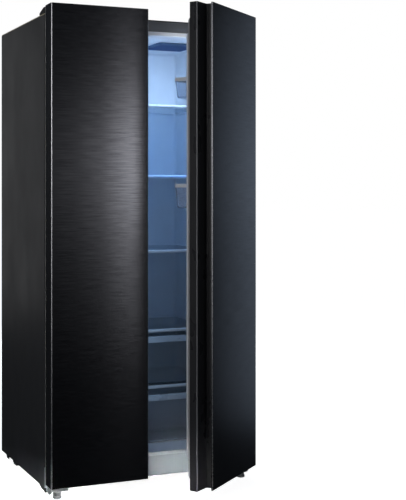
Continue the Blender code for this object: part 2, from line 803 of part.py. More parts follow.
def door_skin(door):
    """The steel face: folded back along the hinge side, and round the lip of the grip."""
    outline = [
        (door.panel, 0.0),
        (door.width, 0.0),
        (door.width, SKIN_RETURN),
        (door.width - SKIN, SKIN_RETURN),
        (door.width - SKIN, SKIN),
        (door.panel + SKIN, SKIN),
        (door.panel + SKIN, LIP),
        (door.panel, LIP),
    ]
    skin = door.prism("skin", outline, DOOR_BASE, DOOR_TOP)
    add_part(skin, door.name, "graphite_steel")


def door_grip(door):
    """The moulded channel behind the free edge: a lip to pull by, the groove and the land behind it."""
    inner = SKIN + GAP
    groove = door.panel + GROOVE_DEPTH
    wall = GRIP_WALL
    outline = [
        (door.panel + inner, inner),
        (groove + wall, inner),
        (groove + wall, GROOVE_BACK + wall),
        (wall, LAND_FRONT + wall),
        (LAND_LEAN + wall, DOOR_DEPTH),
        (LAND_LEAN, DOOR_DEPTH),
        (0.0, LAND_FRONT),
        (groove, GROOVE_BACK),
        (groove, GROOVE_FRONT),
        (door.panel + inner, GROOVE_FRONT),
    ]
    grip = door.prism("grip", outline, DOOR_BASE, DOOR_TOP)
    add_part(grip, door.name, "grip_plastic")


def core_outline(door):
    """The section inside the skin, the grip and the liner."""
    inner = SKIN + GAP
    clear = GRIP_WALL + GAP
    groove = door.panel + GROOVE_DEPTH
    back = DOOR_DEPTH - LINER - GAP
    return [
        (groove + clear, inner),
        (door.width - inner, inner),
        (door.width - inner, back),
        (LAND_LEAN + clear, back),
        (clear + GAP, LAND_FRONT + clear),
        (groove + clear, GROOVE_BACK + clear),
    ]


def door_core(door):
    low, high = DOOR_BASE + CAP_HEIGHT + GAP, DOOR_TOP - CAP_HEIGHT - GAP
    add_part(door.prism("foam", core_outline(door), low, high), door.name, "foam")


def door_caps(door):
    """The moulded ends, each with the bush that the hinge's pin turns in."""
    bush = [(u * door.way, v) for u, v in ring((0, 0), HINGE_PIN_RADIUS + GAP, 16)]
    centre = door.width - HINGE_INSET
    hole = [(centre + u, HINGE_BACK + v) for u, v in bush]
    ends = {"cap_bottom": (DOOR_BASE, DOOR_BASE + CAP_HEIGHT), "cap_top": (DOOR_TOP - CAP_HEIGHT, DOOR_TOP)}
    for name, (low, high) in ends.items():
        cap = door.prism(name, core_outline(door), low, high, holes=[hole])
        add_part(cap, door.name, "black_plastic")


def dyke_span(door):
    """The liner's raised frame: its outer edges along the door's width, and its lowest and highest points."""
    low = door.opening[0] + DYKE_CLEARANCE
    high = door.opening[1] - DYKE_HINGE_CLEARANCE
    return (low, high), (FLOOR + DYKE_END_CLEARANCE, CEILING - DYKE_END_CLEARANCE)


def door_liner(door):
    """The inner moulding: a flat sheet with a raised frame that reaches into the cabinet."""
    (near, far), (low, high) = dyke_span(door)
    front = DOOR_DEPTH - LINER
    edge = LAND_LEAN + GRIP_WALL + GAP
    across = (edge, door.width - SKIN - GAP)
    sheet = door.block("liner", across, (front, DOOR_DEPTH), (DOOR_BASE, DOOR_TOP))
    sides = sorted((door.x(near), door.x(far)))
    outer = rectangle(sides[0], low, sides[1], high)
    inner = rectangle(
        sides[0] + DYKE_WIDTH, low + DYKE_WIDTH, sides[1] - DYKE_WIDTH, high - DYKE_WIDTH
    )
    dyke = extrusion(
        door.name + "_dyke", outer, DOOR_DEPTH - LINER / 2, DOOR_DEPTH + DYKE_DEPTH, "Y", holes=[inner]
    )
    add_part(combine(sheet, [dyke], "UNION"), door.name, "white_liner")


def door_gasket(door):
    """The magnetic seal, just clear of the cabinet's face when the door is closed."""
    ends = sorted((door.x(GASKET_INSET), door.x(door.width - HINGE_INSET - 0.002)))
    outer = rectangle(ends[0], GASKET_BASE, ends[1], GASKET_TOP)
    inner = rectangle(
        ends[0] + GASKET_WIDTH,
        GASKET_BASE + GASKET_WIDTH,
        ends[1] - GASKET_WIDTH,
        GASKET_TOP - GASKET_WIDTH,
    )
    front = DOOR_DEPTH + GAP
    seal = extrusion(door.name + "_gasket", outer, front, front + GASKET_DEPTH, "Y", holes=[inner])
    add_part(seal, door.name, "gasket_rubber")


def door_bin(door, name, rim, depth, height):
    """A clear bin that hangs between the sides of the liner's raised frame."""
    (near, far), _ = dyke_span(door)
    inset = DYKE_WIDTH + 0.0025
    ends = sorted((door.x(near + inset), door.x(far - inset)))
    front = DOOR_DEPTH + 0.0015
    bucket = tub(name, (ends[0], front, rim - height), (ends[1], depth, rim), 0.0025, foot=0.90)
    add_part(bucket, door.name, "clear_plastic")


def add_door(door, bins):
    door_skin(door)
    door_grip(door)
    door_core(door)
    door_caps(door)
    door_liner(door)
    door_gasket(door)
    for name, rim, depth, height in bins:
        door_bin(door, name, rim, depth, height)


# ---- Hinges, feet and rollers ---------------------------------------------------------------------------


def mirrored(side, x):
    return x if side == "left" else WIDTH - x


def sided_box(name, side, low, high):
    ends = sorted((mirrored(side, low[0]), mirrored(side, high[0])))
    return box(name, (ends[0], low[1], low[2]), (ends[1], high[1], high[2]))


def sided_profile(name, side, outline, near, far):
    ends = sorted((mirrored(side, near), mirrored(side, far)))
    return extrusion(name, outline, ends[0], ends[1], "X")


def top_hinge(side):
    """A stepped plate on the cabinet's top, with the pin that the door hangs on."""
    plate, over = 0.002, DOOR_TOP + 0.0005
    deck = CABINET_TOP + GAP
    nose, riser = HINGE_BACK - 0.012, CABINET_FRONT + 0.004
    outline = [
        (nose, over),
        (riser, over),
        (riser, deck),
        (HINGE_TAIL, deck),
        (HINGE_TAIL, deck + plate),
        (riser + plate, deck + plate),
        (riser + plate, over + plate),
        (nose, over + plate),
    ]
    arm = sided_profile(f"top_hinge_{side}", side, outline, 0.012, 0.050)
    pin_length = 0.009
    centre = (mirrored(side, HINGE_INSET), HINGE_BACK, over - pin_length / 2 + PIN_ROOT)
    pin = cylinder(f"top_pin_{side}", centre, HINGE_PIN_RADIUS, pin_length, "Z", 16)
    add_part(combine(arm, [pin], "UNION"), "cabinet", "zinc_steel")


def hinge_cover(side):
    """The moulded hood over the top hinge's bolts, lower at its back."""
    deck = CABINET_TOP + 2 * GAP + 0.002
    front, back = CABINET_FRONT + 0.008, 0.172
    rise, tail, wall = DOOR_TOP + 0.004, CABINET_TOP + 0.014, 0.0015
    shell = [
        (front, rise - wall),
        (front, rise),
        (front + 0.030, rise),
        (back, tail),
        (back, deck),
        (back - wall, deck),
        (back - wall, tail - wall * 0.7),
        (front + 0.030 - wall * 0.3, rise - wall),
    ]
    cover = sided_profile(f"hinge_cover_{side}", side, shell, 0.008, 0.078)
    add_part(cover, "cabinet", "black_plastic")


def bottom_hinge(side):
    """A plate under the door's foot, stepped back under the base pan, with the pin and the foot's nut."""
    plate = 0.003
    shelf_top = DOOR_BASE - 0.0005
    under = CABINET_BASE - GAP
    nose, step = HINGE_BACK - 0.014, CABINET_FRONT - GAP
    outline = [
        (nose, shelf_top - plate),
        (nose, shelf_top),
        (step, shelf_top),
        (step, under),
        (HINGE_TAIL, under),
        (HINGE_TAIL, under - plate),
        (step - plate, under - plate),
        (step - plate, shelf_top - plate),
    ]
    bracket = sided_profile(f"bottom_hinge_{side}", side, outline, 0.010, 0.075)
    pin_length = 0.010
    centre = (mirrored(side, HINGE_INSET), HINGE_BACK, shelf_top + pin_length / 2 - PIN_ROOT)
    pin = cylinder(f"bottom_pin_{side}", centre, HINGE_PIN_RADIUS, pin_length, "Z", 16)
    foot_x, foot_y = mirrored(side, FOOT_CENTRE[0]), FOOT_CENTRE[1]
    nut_foot, nut_top = 0.024, shelf_top - 0.001
    nut_radius, bore_radius, bore_length = 0.010, FOOT_STEM_RADIUS + 0.0005, 0.030
    middle = (nut_foot + nut_top) / 2
    nut = cylinder(f"nut_{side}", (foot_x, foot_y, middle), nut_radius, nut_top - nut_foot, "Z", 6)
    combine(bracket, [pin, nut], "UNION")
    bore = cylinder(f"nut_bore_{side}", (foot_x, foot_y, nut_foot), bore_radius, bore_length, "Z", 16)
    add_part(combine(bracket, [bore], "DIFFERENCE"), "cabinet", "zinc_steel")


def levelling_foot(side):
    """A wide pad on a stem that screws into the bottom hinge."""
    pad, stem, collar, top = 0.016, FOOT_STEM_RADIUS, 0.010, 0.0385
    profile = [
        (0.0, top),
        (stem, top),
        (stem, 0.018),
        (collar, 0.016),
        (pad - 0.001, 0.012),
        (pad, 0.010),
        (pad, 0.001),
        (pad - 0.001, 0.0),
        (0.0, 0.0),
    ]
    name = f"levelling_foot_{side}"
    centre = (mirrored(side, FOOT_CENTRE[0]), FOOT_CENTRE[1], 0.0)
    add_part(turned(name, profile, centre, "Z"), name, "zinc_steel")


def rear_roller(side):
    """A wheel with its axle, carried by the base pan's cheeks."""
    half, axle, end, chamfer = 0.0105, ROLLER_AXLE_RADIUS, 0.0185, 0.0015
    profile = [
        (0.0, end),
        (axle, end),
        (axle, half),
        (ROLLER_RADIUS - chamfer, half),
        (ROLLER_RADIUS, half - chamfer),
        (ROLLER_RADIUS, chamfer - half),
        (ROLLER_RADIUS - chamfer, -half),
        (axle, -half),
        (axle, -end),
        (0.0, -end),
    ]
    name = f"rear_roller_{side}"
    wheel = turned(name, profile, (ROLLER_X[side], ROLLER_Y, ROLLER_RADIUS), "X")
    add_part(wheel, name, "black_plastic")


# ---- Assembly -------------------------------------------------------------------------------------------


def centre_on_floor():
    """Moves the appliance so that the middle of its footprint, on the floor, is the world's origin."""
    bpy.context.view_layer.update()
    graph = bpy.context.evaluated_depsgraph_get()
    corners = []
    for piece in PARTS.objects:
        if piece.type == "MESH":
            solid = piece.evaluated_get(graph)
            corners += [solid.matrix_world @ vertex.co for vertex in solid.data.vertices]
    shift = []
    for axis in range(2):
        low = min(corner[axis] for corner in corners)
        high = max(corner[axis] for corner in corners)
        shift.append(-(low + high) / 2)
    BODIES["cabinet"].location = (shift[0], shift[1], 0.0)
    bpy.context.view_layer.update()


def main():
    freezer_opening, fridge_opening = (FREEZER_RIGHT, FREEZER_LEFT), (FRIDGE_LEFT, FRIDGE_RIGHT)
    fridge_free_edge = FREEZER_DOOR_WIDTH + DOOR_GAP
    freezer = Door("freezer_door", FREEZER_DOOR_WIDTH, 0.0, 0.0, freezer_opening)
    fridge = Door("fridge_door", fridge_free_edge, WIDTH, FRIDGE_PANEL_INSET, fridge_opening)

    add_body("cabinet")
    add_body("freezer_door", (*freezer.hinge, 0.0))
    add_body("fridge_door", (*fridge.hinge, 0.0), REST_OPENING)
    for kind in ("crisper", "freezer"):
        add_body(f"{kind}_drawer_upper")
        add_body(f"{kind}_drawer_lower")
    add_body("condenser_fan", CONDENSER_FAN_CENTRE)
    add_body("evaporator_fan", EVAPORATOR_FAN_CENTRE)
    for side in ("left", "right"):
        add_body(f"levelling_foot_{side}", (mirrored(side, FOOT_CENTRE[0]), FOOT_CENTRE[1], 0.0))
        add_body(f"rear_roller_{side}", (ROLLER_X[side], ROLLER_Y, ROLLER_RADIUS))

    cabinet_wrap()
    front_frame()
    lower_front_panel()
    split = (FREEZER_RIGHT + FRIDGE_LEFT) / 2
    foam_half("freezer_foam", INSIDE_LEFT, split - GAP / 2, FREEZER_LEFT, FREEZER_RIGHT)
    foam_half("fridge_foam", split + GAP / 2, INSIDE_RIGHT, FRIDGE_LEFT, FRIDGE_RIGHT)
    fridge_ribs = [(shelf_underside(top), SHELF_BACK) for top in FRIDGE_SHELVES.values()]
    freezer_ribs = [(shelf_underside(top), FREEZER_SHELF_BACK) for top in FREEZER_SHELVES.values()]
    freezer_ribs.append((FREEZER_DRAWER_RIB, FREEZER_SHELF_BACK))
    liner("freezer_liner", FREEZER_LEFT, FREEZER_RIGHT, freezer_ribs)
    liner("fridge_liner", FRIDGE_LEFT, FRIDGE_RIGHT, fridge_ribs)
    rear_panel()
    base_pan()
    compressor_cover()
    cord_inlet()

    compressor()
    drip_tray()
    condenser()
    condenser_fan()
    evaporator()
    evaporator_cover()
    evaporator_fan()
    air_duct_cover()
    fridge_lamp()

    for name, top in FRIDGE_SHELVES.items():
        shelf(name, top, FRIDGE_LEFT, FRIDGE_RIGHT, SHELF_FRONT, SHELF_BACK)
    for name, top in FREEZER_SHELVES.items():
        shelf(name, top, FREEZER_LEFT, FREEZER_RIGHT, FREEZER_SHELF_FRONT, FREEZER_SHELF_BACK)
    drawers()

    add_door(freezer, FREEZER_BINS)
    add_door(fridge, FRIDGE_BINS)

    for side in ("left", "right"):
        top_hinge(side)
        hinge_cover(side)
        bottom_hinge(side)
        levelling_foot(side)
        rear_roller(side)
    centre_on_floor()


main()
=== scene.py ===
"""Looks of the side by side refrigerator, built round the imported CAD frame.

Pieces are drawn in the appliance's own coordinates, with both doors closed: x from the cabinet's left side,
y back from the doors' front faces and z from the floor. REST places them in the row frame.
"""

import json
from math import cos, pi, radians, sin

import bmesh
import bpy
from mathutils import Matrix, Vector

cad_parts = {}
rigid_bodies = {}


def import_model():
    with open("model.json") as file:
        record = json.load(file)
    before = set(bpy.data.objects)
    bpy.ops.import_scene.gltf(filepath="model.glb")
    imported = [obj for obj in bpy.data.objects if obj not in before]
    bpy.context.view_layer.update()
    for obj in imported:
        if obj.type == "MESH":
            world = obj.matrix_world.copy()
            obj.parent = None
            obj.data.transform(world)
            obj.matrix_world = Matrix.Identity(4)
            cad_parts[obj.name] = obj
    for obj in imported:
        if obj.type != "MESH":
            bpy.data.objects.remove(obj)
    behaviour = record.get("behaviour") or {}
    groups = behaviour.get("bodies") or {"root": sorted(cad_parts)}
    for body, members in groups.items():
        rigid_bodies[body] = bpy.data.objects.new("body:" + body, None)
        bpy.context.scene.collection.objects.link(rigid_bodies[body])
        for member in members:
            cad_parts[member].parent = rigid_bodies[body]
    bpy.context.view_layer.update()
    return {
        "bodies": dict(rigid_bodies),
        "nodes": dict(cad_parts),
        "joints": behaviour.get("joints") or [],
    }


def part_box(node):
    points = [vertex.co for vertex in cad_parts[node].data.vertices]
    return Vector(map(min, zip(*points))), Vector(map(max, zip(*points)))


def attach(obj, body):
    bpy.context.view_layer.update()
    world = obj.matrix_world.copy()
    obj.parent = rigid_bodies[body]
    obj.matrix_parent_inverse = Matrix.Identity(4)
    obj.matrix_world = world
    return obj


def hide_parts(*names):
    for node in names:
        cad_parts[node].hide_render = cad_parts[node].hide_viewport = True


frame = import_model()

# ---- The frame's dimensions ------------

ORIGIN = Vector((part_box("cabinet_wrap")[0].x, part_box("freezer_door_skin")[0].y, 0.0))
JOINTS = {joint["name"]: joint for joint in frame["joints"]}
BODIES = list(frame["bodies"])


def node_box(node):
    """A cabinet node's lowest and highest corners, in the appliance's own coordinates."""
    low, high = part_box(node)
    return low - ORIGIN, high - ORIGIN


def resting_turn():
    """Turns the refrigerator door from closed to where it rests, about its hinge."""
    joint = JOINTS["fridge_door_hinge"]
    pivot = Matrix.Translation(Vector(joint["pos_m"]))
    opening = radians(-joint["range_deg"][0])
    return pivot @ Matrix.Rotation(opening, 4, "Z") @ pivot.inverted()


REST = {body: Matrix.Translation(ORIGIN) for body in BODIES}
REST["fridge_door"] = resting_turn() @ REST["fridge_door"]

WRAP_LOW, WRAP_HIGH = node_box("cabinet_wrap")
WIDTH, FRONT, BACK = WRAP_HIGH.x, WRAP_LOW.y, WRAP_HIGH.y
BASE, TOP = WRAP_LOW.z, WRAP_HIGH.z
SKIN_LOW, SKIN_HIGH = node_box("freezer_door_skin")
DOOR_BASE, DOOR_TOP, FREEZER_DOOR_WIDTH = SKIN_LOW.z, SKIN_HIGH.z, SKIN_HIGH.x
DOOR_DEPTH = node_box("freezer_door_grip")[1].y
DOOR_GAP = 0.003
SHEET, LINER, GAP, FLANGE = 0.001, 0.0015, 0.0003, 0.014
FREEZER = (0.062, 0.350)
FRIDGE = (0.408, 0.758)
FLOOR, CEILING = 0.119, 1.697
HUMP_FRONT, HUMP_TOP, INNER_BACK = 0.400, 0.300, 0.585
SKIN, SKIN_RETURN, LIP = 0.0012, 0.066, 0.006
GRIP_WALL, GROOVE_DEPTH, GROOVE_FRONT, GROOVE_BACK = 0.0025, 0.026, 0.0065, 0.036
LAND_FRONT, LAND_LEAN = 0.042, 0.004
FRIDGE_PANEL_INSET = 0.040
HINGE_INSET, HINGE_BACK, HINGE_PLATE = 0.022, 0.042, 0.003

# ---- Node materials ------------


class Paint:
    """One procedural material: a Principled shader with noise layers on its colour, roughness and height."""

    def __init__(self, name, colour, roughness, metallic=0.0, **sockets):
        self.material = bpy.data.materials.new(name)
        self.material.use_nodes = True
        self.tree = self.material.node_tree
        self.shader = self.tree.nodes["Principled BSDF"]
        self.colour = colour
        self.shader.inputs["Base Color"].default_value = (*colour, 1.0)
        self.shader.inputs["Roughness"].default_value = roughness
        self.shader.inputs["Metallic"].default_value = metallic
        for socket, value in sockets.items():
            self.shader.inputs[socket.replace("_", " ")].default_value = value
        self.place = self.node("ShaderNodeTexCoord").outputs["Object"]

    def node(self, kind, **settings):
        made = self.tree.nodes.new(kind)
        for name, value in settings.items():
            setattr(made, name, value)
        return made

    def link(self, output, socket):
        self.tree.links.new(output, socket)

    def texture(self, kind, scale, **settings):
        """A texture with its own scale along x, y and z."""
        mapping, made = self.node("ShaderNodeMapping"), self.node(kind, **settings)
        mapping.inputs["Scale"].default_value = scale
        made.inputs["Scale"].default_value = 1.0
        self.link(self.place, mapping.inputs["Vector"])
        self.link(mapping.outputs["Vector"], made.inputs["Vector"])
        return made

    def noise(self, scale, detail=3.0, rough=0.55):
        """Noise from 0 to 1."""
        made = self.texture("ShaderNodeTexNoise", scale)
        made.inputs["Detail"].default_value = detail
        made.inputs["Roughness"].default_value = rough
        return made.outputs["Fac"]

    def ramp(self, value, low, high, start=0.3, end=0.7):
        """value from start to end, stretched to run from low to high."""
        made = self.node("ShaderNodeMapRange")
        for name, number in (("From Min", start), ("From Max", end), ("To Min", low), ("To Max", high)):
            made.inputs[name].default_value = number
        self.link(value, made.inputs["Value"])
        return made.outputs[0]

    def tint(self, factor, other):
        """Mixes another colour in by factor, over whatever the colour is so far."""
        mix = self.node("ShaderNodeMix", data_type="RGBA")
        base = self.shader.inputs["Base Color"]
        if base.is_linked:
            self.link(base.links[0].from_socket, mix.inputs["A"])
        else:
            mix.inputs["A"].default_value = (*self.colour, 1.0)
        mix.inputs["B"].default_value = (*other, 1.0)
        self.link(factor, mix.inputs["Factor"])
        self.link(mix.outputs["Result"], base)

    def vary_roughness(self, value, low, high):
        self.link(self.ramp(value, low, high), self.shader.inputs["Roughness"])

    def drift(self, scale, share, other, low, high, detail=3.0):
        """A slow unevenness in tone, towards another colour, and in gloss."""
        slow = self.noise(scale, detail)
        self.tint(self.ramp(slow, 0.0, share), other)
        self.vary_roughness(slow, low, high)

    def bump(self, height, distance, strength=1.0):
        made = self.node("ShaderNodeBump")
        made.inputs["Distance"].default_value = distance
        made.inputs["Strength"].default_value = strength
        normal = self.shader.inputs["Normal"]
        if normal.is_linked:
            self.link(normal.links[0].from_socket, made.inputs["Normal"])
        self.link(height, made.inputs["Height"])
        self.link(made.outputs["Normal"], normal)


BLACK = (0.0, 0.0, 0.0)


def mixed(colour, share, other):
    return tuple(a + (b - a) * share for a, b in zip(colour, other))


def brushed_graphite():
    """Dark steel brushed from side to side: long streaks in tone, gloss and height."""
    dark, light = (0.040, 0.040, 0.046), (0.130, 0.132, 0.144)
    paint = Paint(
        "brushed_graphite", mixed(dark, 0.5, light), 0.20, 1.0, Anisotropic=1.0, Anisotropic_Rotation=0.25
    )
    broad = paint.noise((10.0, 10.0, 270.0), 2.0, 0.6)
    fine = paint.noise((30.0, 30.0, 900.0), 3.0, 0.6)
    cloud = paint.noise((2.2, 2.2, 1.6), 2.0)
    paint.tint(paint.ramp(broad, 0.0, 1.0, 0.36, 0.64), dark)
    paint.tint(paint.ramp(fine, 0.0, 0.45), light)
    paint.tint(paint.ramp(cloud, 0.0, 0.15), dark)
    paint.vary_roughness(fine, 0.11, 0.17)
    paint.bump(broad, 0.00009, 0.5)
    tangent = paint.node("ShaderNodeTangent", direction_type="RADIAL", axis="Z")
    paint.link(tangent.outputs["Tangent"], paint.shader.inputs["Tangent"])
    return paint.material


def powder_paint(name, colour, roughness, metallic=0.0):
    """Stoved paint: a fine orange peel over a slow unevenness in gloss."""
    paint = Paint(name, colour, roughness, metallic)
    paint.drift((6.0, 6.0, 4.0), 0.22, mixed(colour, 0.35, BLACK), roughness - 0.04, roughness + 0.05)
    paint.bump(paint.noise((420.0, 420.0, 420.0), 2.0), 0.00012, 0.30)
    return paint.material


def galvanised():
    """Zinc spangle on bare sheet."""
    paint = Paint("galvanised", (0.46, 0.47, 0.48), 0.42, 0.9)
    cells = paint.texture("ShaderNodeTexVoronoi", (75.0, 75.0, 75.0), feature="F1")
    grey = paint.node("ShaderNodeSeparateColor")
    paint.link(cells.outputs["Color"], grey.inputs["Color"])
    stain = paint.noise((4.0, 4.0, 2.5), 4.0)
    paint.tint(paint.ramp(grey.outputs["Red"], 0.0, 0.35, 0.0, 1.0), (0.30, 0.31, 0.33))
    paint.tint(paint.ramp(stain, 0.0, 0.25), (0.34, 0.33, 0.31))
    gloss = paint.ramp(grey.outputs["Green"], 0.32, 0.52, 0.0, 1.0)
    paint.link(gloss, paint.shader.inputs["Roughness"])
    return paint.material


def moulded(name, colour, roughness, grain=900.0, depth=0.00006, **sockets):
    """Moulded plastic: a fine spark-eroded grain and a slight drift in tone."""
    paint = Paint(name, colour, roughness, **sockets)
    paint.drift((9.0, 9.0, 7.0), 0.30, mixed(colour, 0.22, BLACK), roughness - 0.05, roughness + 0.06)
    paint.bump(paint.noise((grain, grain, grain), 2.0), depth, 0.35)
    return paint.material


def clear(name, colour, roughness, weight):
    """Clear moulded plastic or glass, with faint flow marks."""
    paint = Paint(name, colour, roughness, Transmission_Weight=weight, IOR=1.46)
    bluer = mixed(colour, 0.25, (0.45, 0.60, 0.80))
    paint.drift((14.0, 14.0, 30.0), 0.30, bluer, max(roughness - 0.03, 0.01), roughness + 0.05)
    return paint.material


def bare_metal(name, colour, roughness, streak):
    """Plated or bare metal: fine drawn streaks, and tarnish in patches."""
    paint = Paint(name, colour, roughness, 1.0)
    lines = paint.noise(streak, 3.0)
    patch = paint.noise((60.0, 60.0, 60.0), 4.0)
    paint.tint(paint.ramp(patch, 0.0, 0.45), mixed(colour, 0.45, (0.05, 0.05, 0.05)))
    paint.vary_roughness(lines, roughness - 0.08, roughness + 0.12)
    paint.bump(lines, 0.00005, 0.3)
    return paint.material


def rubber():
    """Grey rubber with a bloom in patches."""
    colour = (0.44, 0.44, 0.46)
    paint = Paint("gasket_rubber", colour, 0.62)
    paint.drift((20.0, 20.0, 12.0), 0.35, mixed(colour, 0.3, BLACK), 0.55, 0.72, 4.0)
    paint.bump(paint.noise((700.0, 700.0, 700.0), 2.0), 0.00005, 0.3)
    return paint.material


def blown_foam():
    """Yellowish insulation with an open-celled surface."""
    paint = Paint("blown_foam", (0.80, 0.74, 0.55), 0.92)
    cells = paint.noise((260.0, 260.0, 260.0), 3.0)
    paint.tint(paint.ramp(cells, 0.0, 0.5), (0.62, 0.55, 0.38))
    paint.bump(cells, 0.0006, 0.6)
    return paint.material


GRAPHITE = brushed_graphite()
SIDE_PAINT = powder_paint("side_paint", (0.034, 0.035, 0.038), 0.40)
FACE_PAINT = powder_paint("face_paint", (0.220, 0.222, 0.232), 0.34, 0.6)
PALE_PANEL = moulded("pale_panel", (0.60, 0.62, 0.68), 0.42)
GALVANISED = galvanised()
FOAM = blown_foam()
WHITE_LINER = moulded("white_liner", (0.82, 0.85, 0.90), 0.36, 500.0, 0.0001)
WHITE_TRIM = moulded("white_trim", (0.84, 0.87, 0.92), 0.30)
GRIP = moulded("grip_plastic", (0.034, 0.034, 0.038), 0.30)
GASKET = rubber()
CLEAR = clear("clear_plastic", (0.80, 0.88, 0.97), 0.12, 0.92)
MILKY = clear("milky_plastic", (0.78, 0.86, 0.96), 0.28, 0.15)
GLASS = clear("shelf_glass", (0.86, 0.95, 0.98), 0.04, 1.0)
BLACK_PLASTIC = moulded("black_plastic", (0.018, 0.018, 0.020), 0.48)
COMPRESSOR_BLACK = powder_paint("compressor_black", (0.014, 0.014, 0.016), 0.45, 0.2)
COPPER = bare_metal("copper", (0.70, 0.33, 0.20), 0.32, (300.0, 300.0, 300.0))
ALUMINIUM = bare_metal("aluminium", (0.72, 0.73, 0.75), 0.36, (600.0, 30.0, 30.0))
# Painted highlight: bright steel laid on the door panels' rounded front corners, where a highlight line
# falls.
STEEL_HIGHLIGHT_EDGE = bare_metal("steel_edge_painted_highlight", (0.66, 0.66, 0.68), 0.26, (40.0, 40.0, 900.0))
# Painted highlight: pale grey plastic laid on the grip's rounded edges, standing for a highlight line.
GRIP_HIGHLIGHT_EDGE = moulded("grip_edge_painted_highlight", (0.40, 0.40, 0.42), 0.26)
ZINC = bare_metal("zinc_steel", (0.74, 0.74, 0.76), 0.32, (40.0, 40.0, 700.0))
LAMP = moulded("lamp_lens", (0.05, 0.09, 0.20), 0.65, Specular_IOR_Level=0.1)
LAMP_RIM = moulded("lamp_rim", (0.10, 0.16, 0.27), 0.60, Specular_IOR_Level=0.1)
TYRE = moulded("roller_tyre", (0.030, 0.030, 0.032), 0.60)

# ---- Shapes ------------

PLANES = {
    "XY": lambda a, b, h: (a, b, h),
    "XZ": lambda a, b, h: (a, h, b),
    "YZ": lambda a, b, h: (h, a, b),
}


def loft(rings, wrap=False):
    """A surface through rings of equal length: closed on itself, or capped at both ends."""
    shape = bmesh.new()
    rows = [[shape.verts.new(point) for point in ring] for ring in rings]
    pairs = list(zip(rows, rows[1:]))
    if wrap:
        pairs.append((rows[-1], rows[0]))
    for lower, upper in pairs:
        for here in range(len(lower)):
            after = (here + 1) % len(lower)
            shape.faces.new((lower[here], lower[after], upper[after], upper[here]))
    if not wrap:
        shape.faces.new(rows[0][::-1])
        shape.faces.new(rows[-1])
    bmesh.ops.recalc_face_normals(shape, faces=shape.faces)
    return shape


def rounded(left, low, right, high, radius, steps=5):
    """Points round a rectangle with rounded corners."""
    centres = (
        (right - radius, high - radius), (left + radius, high - radius), (left + radius, low + radius),
        (right - radius, low + radius),
    )
    points = []
    for quarter, (x, y) in enumerate(centres):
        for step in range(steps + 1):
            angle = pi / 2 * (quarter + step / steps)
            points.append((x + radius * cos(angle), y + radius * sin(angle)))
    return points


def filleted(corners, steps=4):
    """Points of an outline whose corners (a, b, radius) are rounded."""
    points = []
    for number, (a, b, radius) in enumerate(corners):
        corner = Vector((a, b))
        before = Vector(corners[number - 1][:2])
        after = Vector(corners[(number + 1) % len(corners)][:2])
        if radius <= 0:
            points.append((a, b))
            continue
        back, ahead = (before - corner).normalized(), (after - corner).normalized()
        half = back.angle(ahead) / 2
        reach = radius / max(abs(sin(half) / cos(half)), 1e-6)
        centre = corner + (back + ahead).normalized() * radius / sin(half)
        first, last = corner + back * reach - centre, corner + ahead * reach - centre
        sweep = first.angle_signed(last)
        for step in range(steps + 1):
            turn = Matrix.Rotation(-sweep * step / steps, 2)
            points.append(tuple(centre + turn @ first))
    return points


def prism(outline, low, high, plane="XY"):
    put = PLANES[plane]
    return loft([[put(a, b, height) for a, b in outline] for height in (low, high)])


def band(rectangle, radius, profile, plane="XY", steps=5):
    """A closed profile of (inset, height) carried round a rectangle with rounded corners."""
    left, low, right, high = rectangle
    put = PLANES[plane]
    rings = []
    for inset, height in profile:
        ring = rounded(left + inset, low + inset, right - inset, high - inset, radius - inset, steps)
        rings.append([put(a, b, height) for a, b in ring])
    return loft(rings, wrap=True)


def stack(sections, plane="XY", steps=5):
    """A solid through rounded rectangles, each (left, low, right, high, radius, height)."""
    put = PLANES[plane]
    rings = []
    for *rectangle, height in sections:
        rings.append([put(a, b, height) for a, b in rounded(*rectangle, steps)])
    return loft(rings)


def lathe(profile, centre, axis="Z", steps=28):
    """A solid of revolution through (radius, height) points, along an axis."""
    put = {"Z": PLANES["XY"], "Y": PLANES["XZ"], "X": PLANES["YZ"]}[axis]
    rings = []
    for radius, height in profile:
        angles = [2 * pi * step / steps for step in range(steps)]
        rings.append([put(radius * cos(turn), radius * sin(turn), height) for turn in angles])
    shape = loft(rings)
    bmesh.ops.translate(shape, vec=Vector(centre), verts=shape.verts)
    return shape


def soft_box(low, high, radius=0.001, segments=3):
    """A box with rounded edges."""
    low, high = Vector(low), Vector(high)
    shape = bmesh.new()
    bmesh.ops.create_cube(shape, size=1.0)
    bmesh.ops.scale(shape, vec=high - low, verts=shape.verts)
    bmesh.ops.translate(shape, vec=(low + high) / 2, verts=shape.verts)
    bmesh.ops.bevel(
        shape, geom=shape.edges[:], offset=radius, segments=segments, profile=0.5, affect="EDGES"
    )
    return shape


def pipe(route, radius, sides=12):
    """A round tube that follows the route's points, with mitred turns."""
    points = [Vector(point) for point in route]
    rings, across = [], Vector((0.0, 0.0, 1.0))
    for number, point in enumerate(points):
        ahead = (points[min(number + 1, len(points) - 1)] - points[max(number - 1, 0)]).normalized()
        if abs(ahead.dot(across)) > 0.95:
            across = Vector((1.0, 0.0, 0.0))
        side = ahead.cross(across).normalized()
        across = side.cross(ahead).normalized()
        ring = []
        for step in range(sides):
            angle = 2 * pi * step / sides
            ring.append(point + (side * cos(angle) + across * sin(angle)) * radius)
        rings.append(ring)
    return loft(rings)


def smoothed(route, rounds=3):
    """Cuts the corners of a route again and again, so that it bends instead of turning."""
    points = [Vector(point) for point in route]
    for _ in range(rounds):
        cut = [points[0]]
        for near, far in zip(points, points[1:]):
            cut += [near.lerp(far, 0.25), near.lerp(far, 0.75)]
        points = cut + [points[-1]]
    return points


def mesh_of(name, shapes):
    whole = bmesh.new()
    for shape in shapes:
        part = bpy.data.meshes.new("part")
        shape.to_mesh(part)
        shape.free()
        whole.from_mesh(part)
        bpy.data.meshes.remove(part)
    mesh = bpy.data.meshes.new(name)
    whole.to_mesh(mesh)
    whole.free()
    return mesh


